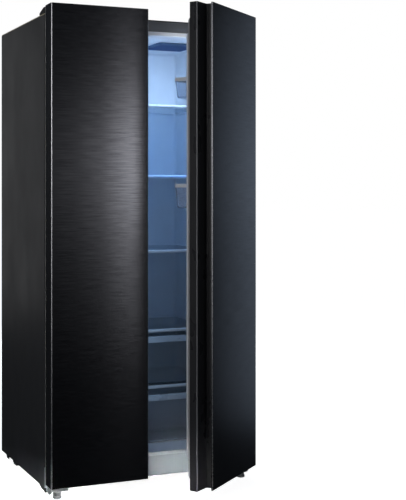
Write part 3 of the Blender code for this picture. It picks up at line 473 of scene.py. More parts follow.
def paint_highlight_edges(mesh, material, corners, reach=0.006):
    """Gives a material of painted highlight to the rounded faces round some upright corners, each an (x, y).
    """
    mesh.materials.append(material)
    for face in mesh.polygons:
        rounded_over = max(abs(part) for part in face.normal) < 0.985
        near = any((face.center.xy - Vector(corner)).length < reach for corner in corners)
        if rounded_over and near:
            face.material_index = 1


def add(
    name, shapes, body, material, stands_for=(), bevel=0.0, angle=35.0, own_axes=False, edge=None
):
    """A piece of the object, drawn in the appliance's own coordinates, on its body."""
    mesh = mesh_of(name, shapes)
    mesh.materials.append(material)
    # edge carries a painted highlight: a brighter material for the rounded faces round the given corners
    if edge:
        paint_highlight_edges(mesh, *edge)
    if not own_axes:
        mesh.transform(REST[body])
    mesh.shade_smooth()
    mesh.set_sharp_from_angle(angle=radians(angle))
    piece = bpy.data.objects.new(name, mesh)
    bpy.context.scene.collection.objects.link(piece)
    if own_axes:
        piece.matrix_world = REST[body]
    if bevel:
        soften(piece, bevel)
    flatten(piece)
    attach(piece, body)
    if stands_for:
        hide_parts(*stands_for)


def soften(piece, width):
    edges = piece.modifiers.new("soft_edges", "BEVEL")
    edges.width, edges.segments = width, 2
    edges.limit_method = "ANGLE"
    edges.angle_limit = radians(50)
    edges.harden_normals = True


def flatten(piece):
    """Large faces keep their own normals, so that rounded edges don't make them look bowed."""
    normals = piece.modifiers.new("flat_faces", "WEIGHTED_NORMAL")
    normals.weight = 100
    normals.keep_sharp = True


def keep(node, material, bevel=0.0):
    """A CAD node that stays, with its finish and softened edges."""
    piece = frame["nodes"][node]
    piece.data.materials.clear()
    piece.data.materials.append(material)
    if bevel:
        soften(piece, bevel)


def screw(x, y, z, axis, way, radius=0.0042):
    """A pan head with a hexagonal recess, standing out along the axis."""
    profile = [
        (radius, 0.0), (radius, 0.0008), (radius * 0.82, 0.0019), (radius * 0.52, 0.0022),
        (radius * 0.50, 0.0008), (radius * 0.10, 0.0007),
    ]
    return lathe([(r, way * height) for r, height in profile], (x, y, z), axis, 18)


def mirrored(side, x):
    return x if side == "left" else WIDTH - x


def span(side, near, far):
    return sorted((mirrored(side, near), mirrored(side, far)))


# ---- Cabinet ------------


def cabinet_shell():
    """The painted sheet over the sides and top, with rounded corners and a folded front edge."""
    corner, fold, seat = 0.009, 0.003, 0.0045
    steps = 6
    path = [((0.0, BASE), (-1.0, 0.0))]
    for x, start in ((corner, pi), (WIDTH - corner, pi / 2)):
        for step in range(steps + 1):
            angle = start - pi / 2 * step / steps
            normal = (cos(angle), sin(angle))
            path.append(((x + corner * normal[0], TOP - corner + corner * normal[1]), normal))
    path.append(((WIDTH, BASE), (1.0, 0.0)))
    section = [(BACK - 0.0015, 0.0)]
    for step in range(5):
        angle = pi / 2 * step / 4
        section.append((FRONT + fold * (1 - sin(angle)), fold * (1 - cos(angle))))
    section += [(FRONT, seat), (FRONT + SHEET, seat), (FRONT + fold, SHEET), (BACK, SHEET), (BACK, 0.0015)]
    rings = []
    for (x, z), (out_x, out_z) in path:
        rings.append([(x - out_x * inset, y, z - out_z * inset) for y, inset in section])
    add("cabinet_shell", [loft(rings)], "cabinet", SIDE_PAINT, ["cabinet_wrap"])


def front_face():
    """The steel face around and between the two openings."""
    edge, foot = 0.0048, node_box("front_frame")[0].z
    rail = CEILING + FLANGE + GAP
    reach = FLANGE + GAP
    outline = [(edge, foot)]
    for left, right in (FREEZER, FRIDGE):
        outline += [(left - reach, foot), (left - reach, rail), (right + reach, rail), (right + reach, foot)]
    outline += [(WIDTH - edge, foot), (WIDTH - edge, TOP - edge), (edge, TOP - edge)]
    corners = [(x, z, 0.004 if z == rail else 0.0) for x, z in outline]
    shape = prism(filleted(corners), FRONT, FRONT + SHEET, "XZ")
    add("front_face", [shape], "cabinet", FACE_PAINT, ["front_frame"], 0.0003)


def compartment(name, left, right, tops, front, back):
    """A vacuum-formed liner: rounded inner corners, a flange round the mouth and rounded shelf ribs."""
    outline = [
        (FRONT, FLOOR), (HUMP_FRONT, FLOOR), (HUMP_FRONT, HUMP_TOP), (INNER_BACK, HUMP_TOP),
        (INNER_BACK, CEILING), (FRONT, CEILING),
    ]
    shape = prism(outline, left, right, "YZ")
    mouth = min(shape.faces, key=lambda face: face.calc_center_median().y)
    bmesh.ops.delete(shape, geom=[mouth], context="FACES")
    inner = [edge for edge in shape.edges if not edge.is_boundary]
    bmesh.ops.bevel(shape, geom=inner, offset=0.012, segments=4, profile=0.5, affect="EDGES")
    rim = [edge for edge in shape.edges if edge.is_boundary]
    middle = Vector(((left + right) / 2, 0.3, (FLOOR + CEILING) / 2))
    for reach in (0.004, FLANGE - 0.004):
        made = bmesh.ops.extrude_edge_only(shape, edges=rim)["geom"]
        for vertex in (item for item in made if isinstance(item, bmesh.types.BMVert)):
            vertex.co.x += reach if vertex.co.x > middle.x else -reach
            vertex.co.z += reach if vertex.co.z > middle.z else -reach
        rim = [item for item in made if isinstance(item, bmesh.types.BMEdge)]
    bmesh.ops.recalc_face_normals(shape, faces=shape.faces)
    first = shape.faces[0]
    if first.normal.dot(first.calc_center_median() - middle) > 0:
        bmesh.ops.reverse_faces(shape, faces=shape.faces)
    ribs = []
    for top in tops:
        for near, far in ((left - 0.001, left + 0.007), (right - 0.007, right + 0.001)):
            ribs.append(soft_box((near, front, top - 0.006), (far, back, top), 0.002))
    node = name.replace("_interior", "_liner")
    add(name, [shape, *ribs], "cabinet", WHITE_LINER, [node])


def interiors():
    rest = 0.0068
    fridge_tops = [1.446, 1.170, 0.876, 0.565, 0.345]
    compartment("fridge_interior", *FRIDGE, [top - rest for top in fridge_tops], 0.230, 0.572)
    freezer_tops = [1.330 - rest, 0.960 - rest, 0.3597]
    compartment("freezer_interior", *FREEZER, freezer_tops, 0.245, 0.534)


FRIDGE_SHELVES = ("fridge_shelf_top", "fridge_shelf_middle", "fridge_shelf_bottom")
CRISPER_COVERS = ("crisper_cover_upper", "crisper_cover_lower")
FREEZER_SHELVES = ("freezer_shelf_upper", "freezer_shelf_lower")


def shelf(node):
    """A glass plate in a moulded frame: a deep bar along the front, slim runners and a back rail."""
    low, high = node_box(node)
    top = low.z + 0.011
    under, over = top - 0.0065, top - 0.0025
    glass = soft_box((low.x + 0.003, low.y + 0.004, under), (high.x - 0.003, high.y - 0.003, over), 0.0006, 2)
    add(node + "_glass", [glass], "cabinet", GLASS, [node])
    bar = [
        (low.y, top - 0.011, 0.003), (low.y + 0.012, top - 0.011, 0.002),
        (low.y + 0.014, top - 0.008, 0.001), (low.y + 0.014, top, 0.0015), (low.y, top, 0.004),
    ]
    frame_parts = [prism(filleted(bar, 5), low.x, high.x, "YZ")]
    for near, far in ((low.x, low.x + 0.008), (high.x - 0.008, high.x)):
        runner = (near, low.y + 0.012, under - 0.0002), (far, high.y - 0.006, over + 0.0012)
        frame_parts.append(soft_box(*runner, 0.0012))
    back_rail = (low.x + 0.010, high.y - 0.010, top - 0.009), (high.x - 0.010, high.y, high.z)
    frame_parts.append(soft_box(*back_rail, 0.0018))
    add(node + "_frame", frame_parts, "cabinet", WHITE_TRIM, (), 0.0004)


def tub(low, high, wall, foot, radius, lip=0.0):
    """An open tub that narrows towards its foot, with rounded corners, walls and a rolled rim."""
    centre = ((low[0] + high[0]) / 2, (low[1] + high[1]) / 2)

    def section(share, inset, height):
        scale = foot + (1 - foot) * share
        half_x = (high[0] - low[0]) / 2 * scale - inset
        half_y = (high[1] - low[1]) / 2 * scale - inset
        x, y = centre
        return (x - half_x, y - half_y, x + half_x, y + half_y, max(radius - inset, 0.002), height)

    depth = high[2] - low[2]
    curve = min(0.008, depth / 4)
    sections = [section(0.0, curve, low[2])]
    for step in range(1, 5):
        angle = pi / 2 * step / 4
        sections.append(section(curve / depth, curve * (1 - sin(angle)), low[2] + curve * (1 - cos(angle))))
    turn, rim = 0.0006, high[2]
    sections.append(section(1.0, lip, rim - 0.002))
    sections.append(section(1.0, lip, rim - turn))
    sections.append(section(1.0, lip + turn, rim))
    sections.append(section(1.0, lip + wall - turn, rim))
    sections.append(section(1.0, lip + wall, rim - turn))
    for step in range(4, -1, -1):
        angle = pi / 2 * step / 4
        inset = wall + curve * (1 - sin(angle))
        sections.append(section(curve / depth, inset, low[2] + wall + curve * (1 - cos(angle))))
    return stack(sections)


def drawer(node, rail):
    """A clear rounded tub with a deeper rail along its front, hollowed underneath for the fingers."""
    low, high = node_box(node)
    body = tub((low.x, low.y + 0.008, low.z), (high.x, high.y, high.z - 0.004), 0.0025, 0.97, 0.014)
    add(node + "_tub", [body], node, CLEAR, [node])
    outline = [
        (low.y, high.z - rail, 0.004), (low.y + 0.004, high.z - rail, 0.0015),
        (low.y + 0.005, high.z - 0.006, 0.002), (low.y + 0.012, high.z - 0.006, 0.002),
        (low.y + 0.012, high.z, 0.002), (low.y, high.z, 0.005),
    ]
    front = prism(filleted(outline, 5), low.x, high.x, "YZ")
    add(node + "_rail", [front], node, MILKY, (), 0.0005)


def lamp():
    """The lamp under the ceiling: a ribbed lens in a dim blue surround."""
    low, high = node_box("fridge_lamp")
    ribs, pitch, rib, border_width = 9, 0.016, 0.006, 0.006
    lens_low = (low.x + border_width, low.y + border_width, low.z)
    lens = [soft_box(lens_low, (high.x - border_width, high.y - border_width, high.z), 0.002)]
    for number in range(ribs):
        y = low.y + 0.020 + pitch * number
        far_corner = (high.x - 0.014, y + rib, low.z + 0.002)
        lens.append(soft_box((low.x + 0.014, y, low.z - 0.0008), far_corner, 0.0007))
    add("fridge_lamp_lens", lens, "cabinet", LAMP, ["fridge_lamp"])
    lowest = low.z + 0.0008
    border = [(0.0, high.z), (0.0, low.z + 0.003), (0.002, lowest), (0.007, lowest), (0.008, high.z)]
    surround = band((low.x, low.y, high.x, high.y), 0.012, border)
    add("fridge_lamp_surround", [surround], "cabinet", LAMP_RIM, ())


def rear_pressing():
    """Stiffening beads pressed into the back sheet, and the screws round it and the compressor's cover."""
    skin = node_box("rear_panel")[1].y
    rise, seat, bead_width = 0.0028, skin - 0.0002, 0.320
    flank = skin + rise * 0.7
    profile = [(0.0, seat), (0.003, flank), (0.006, skin + rise), (0.009, flank), (0.012, seat)]
    beads = []
    for low, high in ((0.330, 0.980), (1.040, 1.690)):
        for left in (0.070, 0.430):
            beads.append(band((left, low, left + bead_width, high), 0.045, profile, "XZ", 8))
    add("rear_panel_beads", beads, "cabinet", GALVANISED, (), 0.0, 50.0)
    heads = []
    for z in (0.290, 0.640, 1.010, 1.370, 1.735):
        heads += [screw(0.014, skin, z, "Y", 1), screw(WIDTH - 0.014, skin, z, "Y", 1)]
    for x in (0.140, 0.320, 0.500, 0.680):
        heads += [screw(x, skin, 1.740, "Y", 1), screw(x, skin, 0.249, "Y", 1)]
    for x in (0.014, 0.410, WIDTH - 0.014):
        heads.append(screw(x, skin, 0.050, "Y", 1))
    add("rear_screws", heads, "cabinet", ZINC, ())


def refrigerant_pipes():
    """Copper pipes between the compressor, its condenser and the back wall."""
    to_coil = [
        (0.545, 0.500, 0.120), (0.500, 0.480, 0.130), (0.440, 0.470, 0.080), (0.300, 0.470, 0.060),
        (0.080, 0.500, 0.052), (0.070, 0.545, 0.050),
    ]
    from_coil = [
        (0.545, 0.590, 0.140), (0.500, 0.610, 0.160), (0.470, 0.600, 0.220), (0.440, 0.560, 0.245),
        (0.330, 0.545, 0.2325),
    ]
    suction = [(0.655, 0.600, 0.130), (0.700, 0.620, 0.150), (0.720, 0.610, 0.210), (0.720, 0.560, 0.255)]
    pipes = [pipe(smoothed(route), 0.003) for route in (to_coil, from_coil, suction)]
    add("refrigerant_pipes", pipes, "cabinet", COPPER, ())


def cabinet():
    cabinet_shell()
    front_face()
    interiors()
    lamp()
    for node in (*FRIDGE_SHELVES, *CRISPER_COVERS, *FREEZER_SHELVES):
        shelf(node)
    for node, rail in (
        ("crisper_drawer_upper", 0.025),
        ("crisper_drawer_lower", 0.024),
        ("freezer_drawer_upper", 0.030),
        ("freezer_drawer_lower", 0.030),
    ):
        drawer(node, rail)
    rear_pressing()
    refrigerant_pipes()
    foams = ("freezer_foam", "fridge_foam", "freezer_door_foam", "fridge_door_foam")
    for material, bevels in (
        (PALE_PANEL, {"lower_front_panel": 0.0006}),
        (WHITE_LINER, {"air_duct_cover": 0.0020, "evaporator_cover": 0.0007}),
        (ALUMINIUM, {"evaporator_coil": 0.0}),
        (COPPER, {"condenser_coil": 0.0}),
        (BLACK_PLASTIC, {"condenser_fan": 0.0004, "evaporator_fan": 0.0004, "drip_tray": 0.0005}),
        (BLACK_PLASTIC, {"cord_inlet": 0.0012}),
        (COMPRESSOR_BLACK, {"compressor": 0.0015}),
        (GALVANISED, {"condenser_fan_motor": 0.0010, "base_pan": 0.0004, "compressor_cover": 0.0003}),
        (GALVANISED, {"rear_panel": 0.0}),
        (FOAM, dict.fromkeys(foams, 0.0)),
    ):
        for node, bevel in bevels.items():
            keep(node, material, bevel)


# ---- Doors ------------


class Door:
    """One door. Its sections are drawn as (u, v): u from the free edge, v back from the front face."""

    def __init__(self, body, free_edge, hinge_side, panel, opening):
        self.body = body
        self.free_edge = free_edge
        self.width = abs(hinge_side - free_edge)
        self.way = 1.0 if hinge_side > free_edge else -1.0
        self.panel = panel
        self.opening = sorted(abs(side - free_edge) for side in opening)

    def x(self, u):
        return self.free_edge + self.way * u

    def span(self, near, far):
        return sorted((self.x(near), self.x(far)))

    def section(self, corners, steps=5):
        return [(self.x(u), v) for u, v in filleted(corners, steps)]

    def name(self, end):
        return f"{self.body}_{end}"


def door_panel(door):
    """The steel face, rolled over at both edges and folded back along the hinge side."""
    free, hinge = 0.0030, 0.0045
    corners = [
        (door.panel, LIP, 0.0004), (door.panel, 0.0, free), (door.width, 0.0, hinge),
        (door.width, SKIN_RETURN, 0.0004), (door.width - SKIN, SKIN_RETURN, 0.0),
        (door.width - SKIN, SKIN, hinge - SKIN), (door.panel + SKIN, SKIN, free - SKIN),
        (door.panel + SKIN, LIP, 0.0),
    ]
    shape = prism(door.section(corners, 6), DOOR_BASE, DOOR_TOP)
    bmesh.ops.triangulate(shape, faces=[face for face in shape.faces if len(face.verts) > 4])
    # The rounded front corners get bright steel as a painted highlight line.
    edge = (STEEL_HIGHLIGHT_EDGE, [(door.x(door.panel), 0.0), (door.x(door.width), 0.0)])
    name, node = door.name("panel"), door.name("skin")
    add(name, [shape], door.body, GRAPHITE, [node], 0.0005, own_axes=True, edge=edge)


def door_channel(door):
    """The moulded grip behind the free edge: its lip, the groove and the land."""
    inner = SKIN + GAP
    groove = door.panel + GROOVE_DEPTH
    wall = GRIP_WALL
    corners = [
        (door.panel + inner, inner, 0.0012), (groove + wall, inner, 0.0),
        (groove + wall, GROOVE_BACK + wall, 0.002), (wall, LAND_FRONT + wall, 0.001),
        (LAND_LEAN + wall, DOOR_DEPTH, 0.0), (LAND_LEAN, DOOR_DEPTH, 0.0008),
        (0.0, LAND_FRONT, 0.0030), (groove, GROOVE_BACK, 0.0060), (groove, GROOVE_FRONT, 0.0040),
        (door.panel + inner, GROOVE_FRONT, 0.0012),
    ]
    shape = prism(door.section(corners, 6), DOOR_BASE, DOOR_TOP)
    # The land's front edge and the lip's back edge get pale grey plastic as a painted highlight line.
    turns = [(door.x(0.0), LAND_FRONT), (door.x(door.panel + inner), GROOVE_FRONT)]
    name, node, edge = door.name("channel"), door.name("grip"), (GRIP_HIGHLIGHT_EDGE, turns)
    add(name, [shape], door.body, GRIP, [node], 0.0004, edge=edge)


def door_inside(door):
    """The white inner moulding: a flat sheet with a rounded raised frame."""
    sides = door.span(door.opening[0] + 0.020, door.opening[1] - 0.012)
    low, high = FLOOR + 0.012, CEILING - 0.012
    ends = door.span(LAND_LEAN + GRIP_WALL + GAP, door.width - SKIN - GAP)
    front = DOOR_DEPTH - LINER
    shapes = [soft_box((ends[0], front, DOOR_BASE), (ends[1], DOOR_DEPTH, DOOR_TOP), 0.0006, 2)]
    width, rise, curve = 0.020, 0.037, 0.006
    profile = [(0.0, front + 0.0008)]
    for centre, start in ((curve, pi), (width - curve, pi / 2)):
        for step in range(5):
            angle = start - pi / 2 * step / 4
            profile.append((centre + curve * cos(angle), DOOR_DEPTH + rise - curve + curve * sin(angle)))
    profile.append((width, front + 0.0008))
    shapes.append(band((sides[0], low, sides[1], high), 0.026, profile, "XZ", 6))
    add(door.name("inside"), shapes, door.body, WHITE_LINER, [door.name("liner")])


def door_seal(door):
    """The magnetic gasket: a bellows between its foot and the flat magnet bar."""
    ends = door.span(0.008, door.width - HINGE_INSET - 0.002)
    foot, width, lowest, highest = DOOR_DEPTH + GAP, 0.014, 0.079, 1.729
    half = [
        (0.0025, 0.0), (0.0025, 0.0012), (0.0006, 0.0022), (0.0018, 0.0036), (0.0000, 0.0050),
        (0.0000, 0.0074), (0.0010, 0.0082),
    ]
    profile = [(inset, foot + height) for inset, height in half]
    profile += [(width - inset, foot + height) for inset, height in reversed(half)]
    shape = band((ends[0], lowest, ends[1], highest), 0.022, profile, "XZ", 6)
    add(door.name("seal"), [shape], door.body, GASKET, [door.name("gasket")], 0.0, 25.0)


def door_bin(door, name, rim, depth, height):
    """A clear bin with a white band round its rim."""
    ends = door.span(door.opening[0] + 0.0425, door.opening[1] - 0.0345)
    front = DOOR_DEPTH + 0.0015
    low, high = (ends[0], front, rim - height), (ends[1], depth, rim - 0.001)
    body = tub(low, high, 0.0022, 0.90, 0.014, 0.0012)
    add(name + "_tub", [body], door.body, CLEAR, [name])
    profile = [(0.0, rim - 0.013), (0.0, rim - 0.001), (0.001, rim), (0.0032, rim), (0.0042, rim - 0.001)]
    profile += [(0.0042, rim - 0.005), (0.0034, rim - 0.0055), (0.0012, rim - 0.0055), (0.0012, rim - 0.013)]
    hoop = band((ends[0], front, ends[1], depth), 0.014, profile, "XY", 5)
    add(name + "_hoop", [hoop], door.body, WHITE_TRIM, ())


def doors():
    freezer = Door("freezer_door", FREEZER_DOOR_WIDTH, 0.0, 0.0, FREEZER)
    fridge = Door("fridge_door", FREEZER_DOOR_WIDTH + DOOR_GAP, WIDTH, FRIDGE_PANEL_INSET, FRIDGE)
    freezer_bins = (("freezer_bin_upper", 1.420, 0.160, 0.090), ("freezer_bin_lower", 1.020, 0.160, 0.090))
    fridge_bins = (("fridge_bin_upper", 1.522, 0.172, 0.074), ("fridge_bin_lower", 1.134, 0.172, 0.088))
    for door, bins in ((freezer, freezer_bins), (fridge, fridge_bins)):
        door_panel(door)
        door_channel(door)
        door_inside(door)
        door_seal(door)
        for name, rim, depth, height in bins:
            door_bin(door, name, rim, depth, height)
        keep(door.name("cap_top"), BLACK_PLASTIC, 0.0006)
        keep(door.name("cap_bottom"), BLACK_PLASTIC, 0.0006)


# ---- Hinges, feet and rollers ------------


def hinge_hood(side):
    """The moulded hood over the top hinge, sloping down to its back."""
    low, high = node_box(f"hinge_cover_{side}")
    crown, tail = high.z - 0.001, TOP + 0.014
    stations = (
        (low.y, 0.0030, crown - 0.003), (low.y + 0.0012, 0.0010, crown - 0.001),
        (low.y + 0.0035, 0.0, crown), (low.y + 0.030, 0.0, crown),
        (low.y + 0.038, 0.0, crown - 0.0015), (high.y - 0.006, 0.0, tail + 0.001),
        (high.y - 0.002, 0.0010, tail - 0.001), (high.y, 0.0030, tail - 0.004),
    )
    sections = []
    for y, inset, top in stations:
        sections.append((low.x + inset, low.z, high.x - inset, top, 0.0045, y))
    hood, node = stack(sections, "XZ", 4), f"hinge_cover_{side}"
    add(f"hinge_hood_{side}", [hood], "cabinet", BLACK_PLASTIC, [node], 0.0, 40.0)


def hinge_hardware(side):
    """Pin heads and screws on the hinge plates."""
    keep(f"top_hinge_{side}", ZINC, 0.0005)
    keep(f"bottom_hinge_{side}", ZINC, 0.0005)
    plate = node_box(f"top_hinge_{side}")[1].z
    head = [(0.0072, 0.0), (0.0072, 0.0006), (0.0055, 0.0013), (0.0015, 0.0014)]
    parts = [lathe(head, (mirrored(side, HINGE_INSET), HINGE_BACK, plate - 0.0002), "Z", 24)]
    flange, screw_row = BASE - GAP - HINGE_PLATE, 0.122
    for offset in (0.022, 0.062):
        parts.append(screw(mirrored(side, offset), screw_row, flange, "Z", -1, 0.0048))
    add(f"hinge_screws_{side}", parts, "cabinet", ZINC, ())


def hinge_folds(side):
    """The bottom hinge's edges: a lip folded down along its front and an ear at its outer side."""
    nose, top, fold = 0.0282, 0.0435, 0.0268
    lip = [(nose, fold, 0.001), (nose + 0.0024, fold, 0.0), (nose + 0.0024, top, 0.0), (nose, top, 0.0)]
    ear = [
        (nose, top, 0.0), (0.0700, top, 0.0), (0.0740, 0.0290, 0.0), (0.0880, 0.0290, 0.0),
        (0.0880, 0.0160, 0.003), (0.0600, 0.0100, 0.004), (0.0400, 0.0180, 0.004), (nose, fold, 0.0),
    ]
    folds = []
    for outline, ends in ((lip, span(side, 0.010, 0.075)), (ear, span(side, 0.010, 0.012))):
        folds.append(prism(filleted(outline), *ends, "YZ"))
    add(f"hinge_folds_{side}", folds, "cabinet", ZINC, (), 0.0003)


def levelling_foot(side):
    """A ribbed pad under a hexagonal collar, on a threaded stem."""
    node = f"levelling_foot_{side}"
    low, high = node_box(node)
    centre = ((low.x + high.x) / 2, (low.y + high.y) / 2, 0.0)
    reach, waist, neck, crest = 0.0160, 0.0152, 0.0140, 0.0048
    pad = [(0.0135, 0.0), (waist, 0.0006), (reach, 0.0020), (reach, 0.0085), (0.0148, 0.0100), (neck, 0.0108)]
    collar = [(neck, 0.0104), (waist, 0.0114), (waist, 0.0218), (neck, 0.0228)]
    stem, height, pitch = [(0.0040, 0.0224)], 0.0228, 0.0012
    while height < high.z - 0.0014:
        stem += [(0.0040, height), (crest, height + pitch / 2)]
        height += pitch
    stem.append((0.0038, high.z))
    shapes = [lathe(pad, centre, "Z", 40), lathe(collar, centre, "Z", 6), lathe(stem, centre, "Z", 20)]
    ridges = 20
    for step in range(ridges):
        angle = 2 * pi * step / ridges
        x, y = centre[0] + 0.0158 * cos(angle), centre[1] + 0.0158 * sin(angle)
        ridge = lathe([(0.0009, 0.0022), (0.0009, 0.0082)], (x, y, 0.0), "Z", 8)
        for vertex in ridge.verts:
            out = Vector((vertex.co.x - centre[0], vertex.co.y - centre[1]))
            if out.length > reach:
                out = out.normalized() * reach
                vertex.co.x, vertex.co.y = centre[0] + out.x, centre[1] + out.y
        shapes.append(ridge)
    add(node + "_pad", shapes, node, ZINC, [node], 0.0, 30.0)


def roller(sides, centre, radius, half, chamfer, hub, grooves=()):
    """A wheel about a line along x, with chamfered rims and grooves round its tread."""
    profile = [(hub, -half), (radius - chamfer, -half), (radius, chamfer - half)]
    for groove in grooves:
        root = radius - 0.0010
        profile += [(radius, groove - 0.0010), (root, groove - 0.0004)]
        profile += [(root, groove + 0.0004), (radius, groove + 0.0010)]
    profile += [(radius, half - chamfer), (radius - chamfer, half), (hub, half)]
    return lathe(profile, centre, "X", sides)


def rear_roller(side):
    """A wheel with a grooved tread on a steel axle."""
    node = f"rear_roller_{side}"
    low, high = node_box(node)
    centre = ((low.x + high.x) / 2, (low.y + high.y) / 2, (low.z + high.z) / 2)
    wheel = roller(40, centre, (high.z - low.z) / 2, 0.0105, 0.0015, 0.0034, (-0.0045, 0.0045))
    add(node + "_wheel", [wheel], node, TYRE, [node], 0.0, 30.0)
    end, radius, chamfer = (high.x - low.x) / 2, 0.0030, 0.0008
    axle = [(0.0022, -end), (radius, chamfer - end), (radius, end - chamfer), (0.0022, end)]
    add(node + "_axle", [lathe(axle, centre, "X", 20)], node, ZINC, ())


def rear_housing(side):
    """The stepped cheeks that carry a rear roller."""
    low, high = node_box(f"rear_roller_{side}")
    front, back, top = 0.455, 0.632, BASE - 0.0005
    edge = [(front, top, 0.0)]
    for end, foot, radius in (
        (0.478, 0.019, 0.002),
        (0.500, 0.024, 0.0),
        (0.530, 0.014, 0.002),
        (0.585, 0.022, 0.0),
        (0.622, 0.010, 0.003),
    ):
        edge += [(front, foot, radius), (end, foot, radius)]
        front = end
    edge.append((back, top, 0.0))
    thickness, cheeks = 0.0015, []
    for start in (low.x - 0.0018, high.x + GAP):
        cheeks.append(prism(filleted(edge), start, start + thickness, "YZ"))
    add(f"rear_roller_cheeks_{side}", cheeks, "cabinet", BLACK_PLASTIC, (), 0.0003)


def front_roller(side):
    """The fixed roller and its housing behind the bottom hinge, under the cabinet's front corner."""
    left, right = span(side, 0.012, 0.034)
    front, back, foot = 0.100, 0.180, 0.007
    housing = [
        (front, BASE - 0.0005, 0.0), (front, 0.014, 0.003), (0.108, foot, 0.003), (0.150, foot, 0.003),
        (back, 0.016, 0.003), (back, BASE - 0.0005, 0.0),
    ]
    thickness, cheeks = 0.002, []
    for start in (left, right - thickness):
        cheeks.append(prism(filleted(housing), start, start + thickness, "YZ"))
    add(f"front_roller_housing_{side}", cheeks, "cabinet", BLACK_PLASTIC, (), 0.0004)
    radius = 0.0125
    wheel = roller(32, ((left + right) / 2, 0.124, radius), radius, 0.008, 0.001, 0.003)
    name = f"front_roller_wheel_{side}"
    add(name, [wheel], "cabinet", TYRE, (), 0.0, 30.0)


def hardware():
    for side in ("left", "right"):
        hinge_hood(side)
        hinge_hardware(side)
        hinge_folds(side)
        levelling_foot(side)
        rear_roller(side)
        rear_housing(side)
        front_roller(side)


cabinet()
doors()
hardware()

# ---- Stage: floor, light and camera ------------


def world_point(x, y, z):
    return ORIGIN + Vector((x, y, z))


def floor():
    """A plain pale floor that the object's surfaces don't mirror."""
    paint = Paint("pale_floor", (0.90, 0.90, 0.90), 0.9)
    paint.shader.inputs["Emission Color"].default_value = (1.0, 1.0, 1.0, 1.0)
    paint.shader.inputs["Emission Strength"].default_value = 0.93
    paint.shader.inputs["Specular IOR Level"].default_value = 0.0
    shape = bmesh.new()
    bmesh.ops.create_grid(shape, x_segments=4, y_segments=4, size=40.0)
    mesh = mesh_of("floor", [shape])
    mesh.materials.append(paint.material)
    ground = bpy.data.objects.new("floor", mesh)
    ground.location.z = -0.0005
    ground.visible_glossy = False
    ground.visible_diffuse = False
    ground.visible_transmission = True
    bpy.context.scene.collection.objects.link(ground)


def surroundings():
    """White to the camera, and as light a dim blue grey that fades towards the floor."""
    world = bpy.data.worlds.new("studio")
    bpy.context.scene.world = world
    world.use_nodes = True
    nodes, links = world.node_tree.nodes, world.node_tree.links
    nodes.clear()
    kinds = ("Background", "Background", "TexCoord", "SeparateXYZ", "MapRange")
    kinds += ("MixShader", "LightPath", "OutputWorld")
    seen, light, place, split, rise, mix, path, out = (nodes.new("ShaderNode" + kind) for kind in kinds)
    seen.inputs["Color"].default_value = (1.0, 1.0, 1.0, 1.0)
    light.inputs["Color"].default_value = (0.80, 0.88, 1.0, 1.0)
    for name, number in (("From Min", -0.16), ("From Max", 0.9), ("To Min", 0.022), ("To Max", 0.12)):
        rise.inputs[name].default_value = number
    links.new(place.outputs["Generated"], split.inputs[0])
    links.new(split.outputs["Z"], rise.inputs["Value"])
    links.new(rise.outputs[0], light.inputs["Strength"])
    links.new(path.outputs["Is Camera Ray"], mix.inputs[0])
    links.new(light.outputs[0], mix.inputs[1])
    links.new(seen.outputs[0], mix.inputs[2])
    links.new(mix.outputs[0], out.inputs[0])


def grade(light, across, upward):
    """Fades an area light along its two sides, each by a ramp of (place, brightness)."""
    light.data.use_nodes = True
    nodes, links = light.data.node_tree.nodes, light.data.node_tree.links
    emission = nodes["Emission"]
    place, split = nodes.new("ShaderNodeNewGeometry"), nodes.new("ShaderNodeSeparateXYZ")
    links.new(place.outputs["Parametric"], split.inputs[0])
    product = nodes.new("ShaderNodeMath")
    product.operation = "MULTIPLY"
    for socket, axis, stops in ((0, "X", across), (1, "Y", upward)):
        ramp = nodes.new("ShaderNodeValToRGB")
        elements = ramp.color_ramp.elements
        elements.remove(elements[1])
        elements[0].position = stops[0][0]
        elements[0].color = (stops[0][1],) * 3 + (1.0,)
        for position, level in stops[1:]:
            elements.new(position).color = (level, level, level, 1.0)
        links.new(split.outputs[axis], ramp.inputs[0])
        links.new(ramp.outputs["Color"], product.inputs[socket])
    links.new(product.outputs[0], emission.inputs["Strength"])


def area_light(name, place, target, size, power, colour=(1.0, 1.0, 1.0), spread=180.0, mirrored_by=True):
    lamp_data = bpy.data.lights.new(name, "AREA")
    lamp_data.shape = "RECTANGLE"
    lamp_data.size, lamp_data.size_y = size
    lamp_data.energy = power
    lamp_data.color = colour
    lamp_data.spread = radians(spread)
    light = bpy.data.objects.new(name, lamp_data)
    light.location = world_point(*place)
    way = world_point(*target) - light.location
    light.rotation_euler = way.to_track_quat("-Z", "Y").to_euler()
    light.visible_camera = False
    light.visible_glossy = mirrored_by
    bpy.context.scene.collection.objects.link(light)
    return light


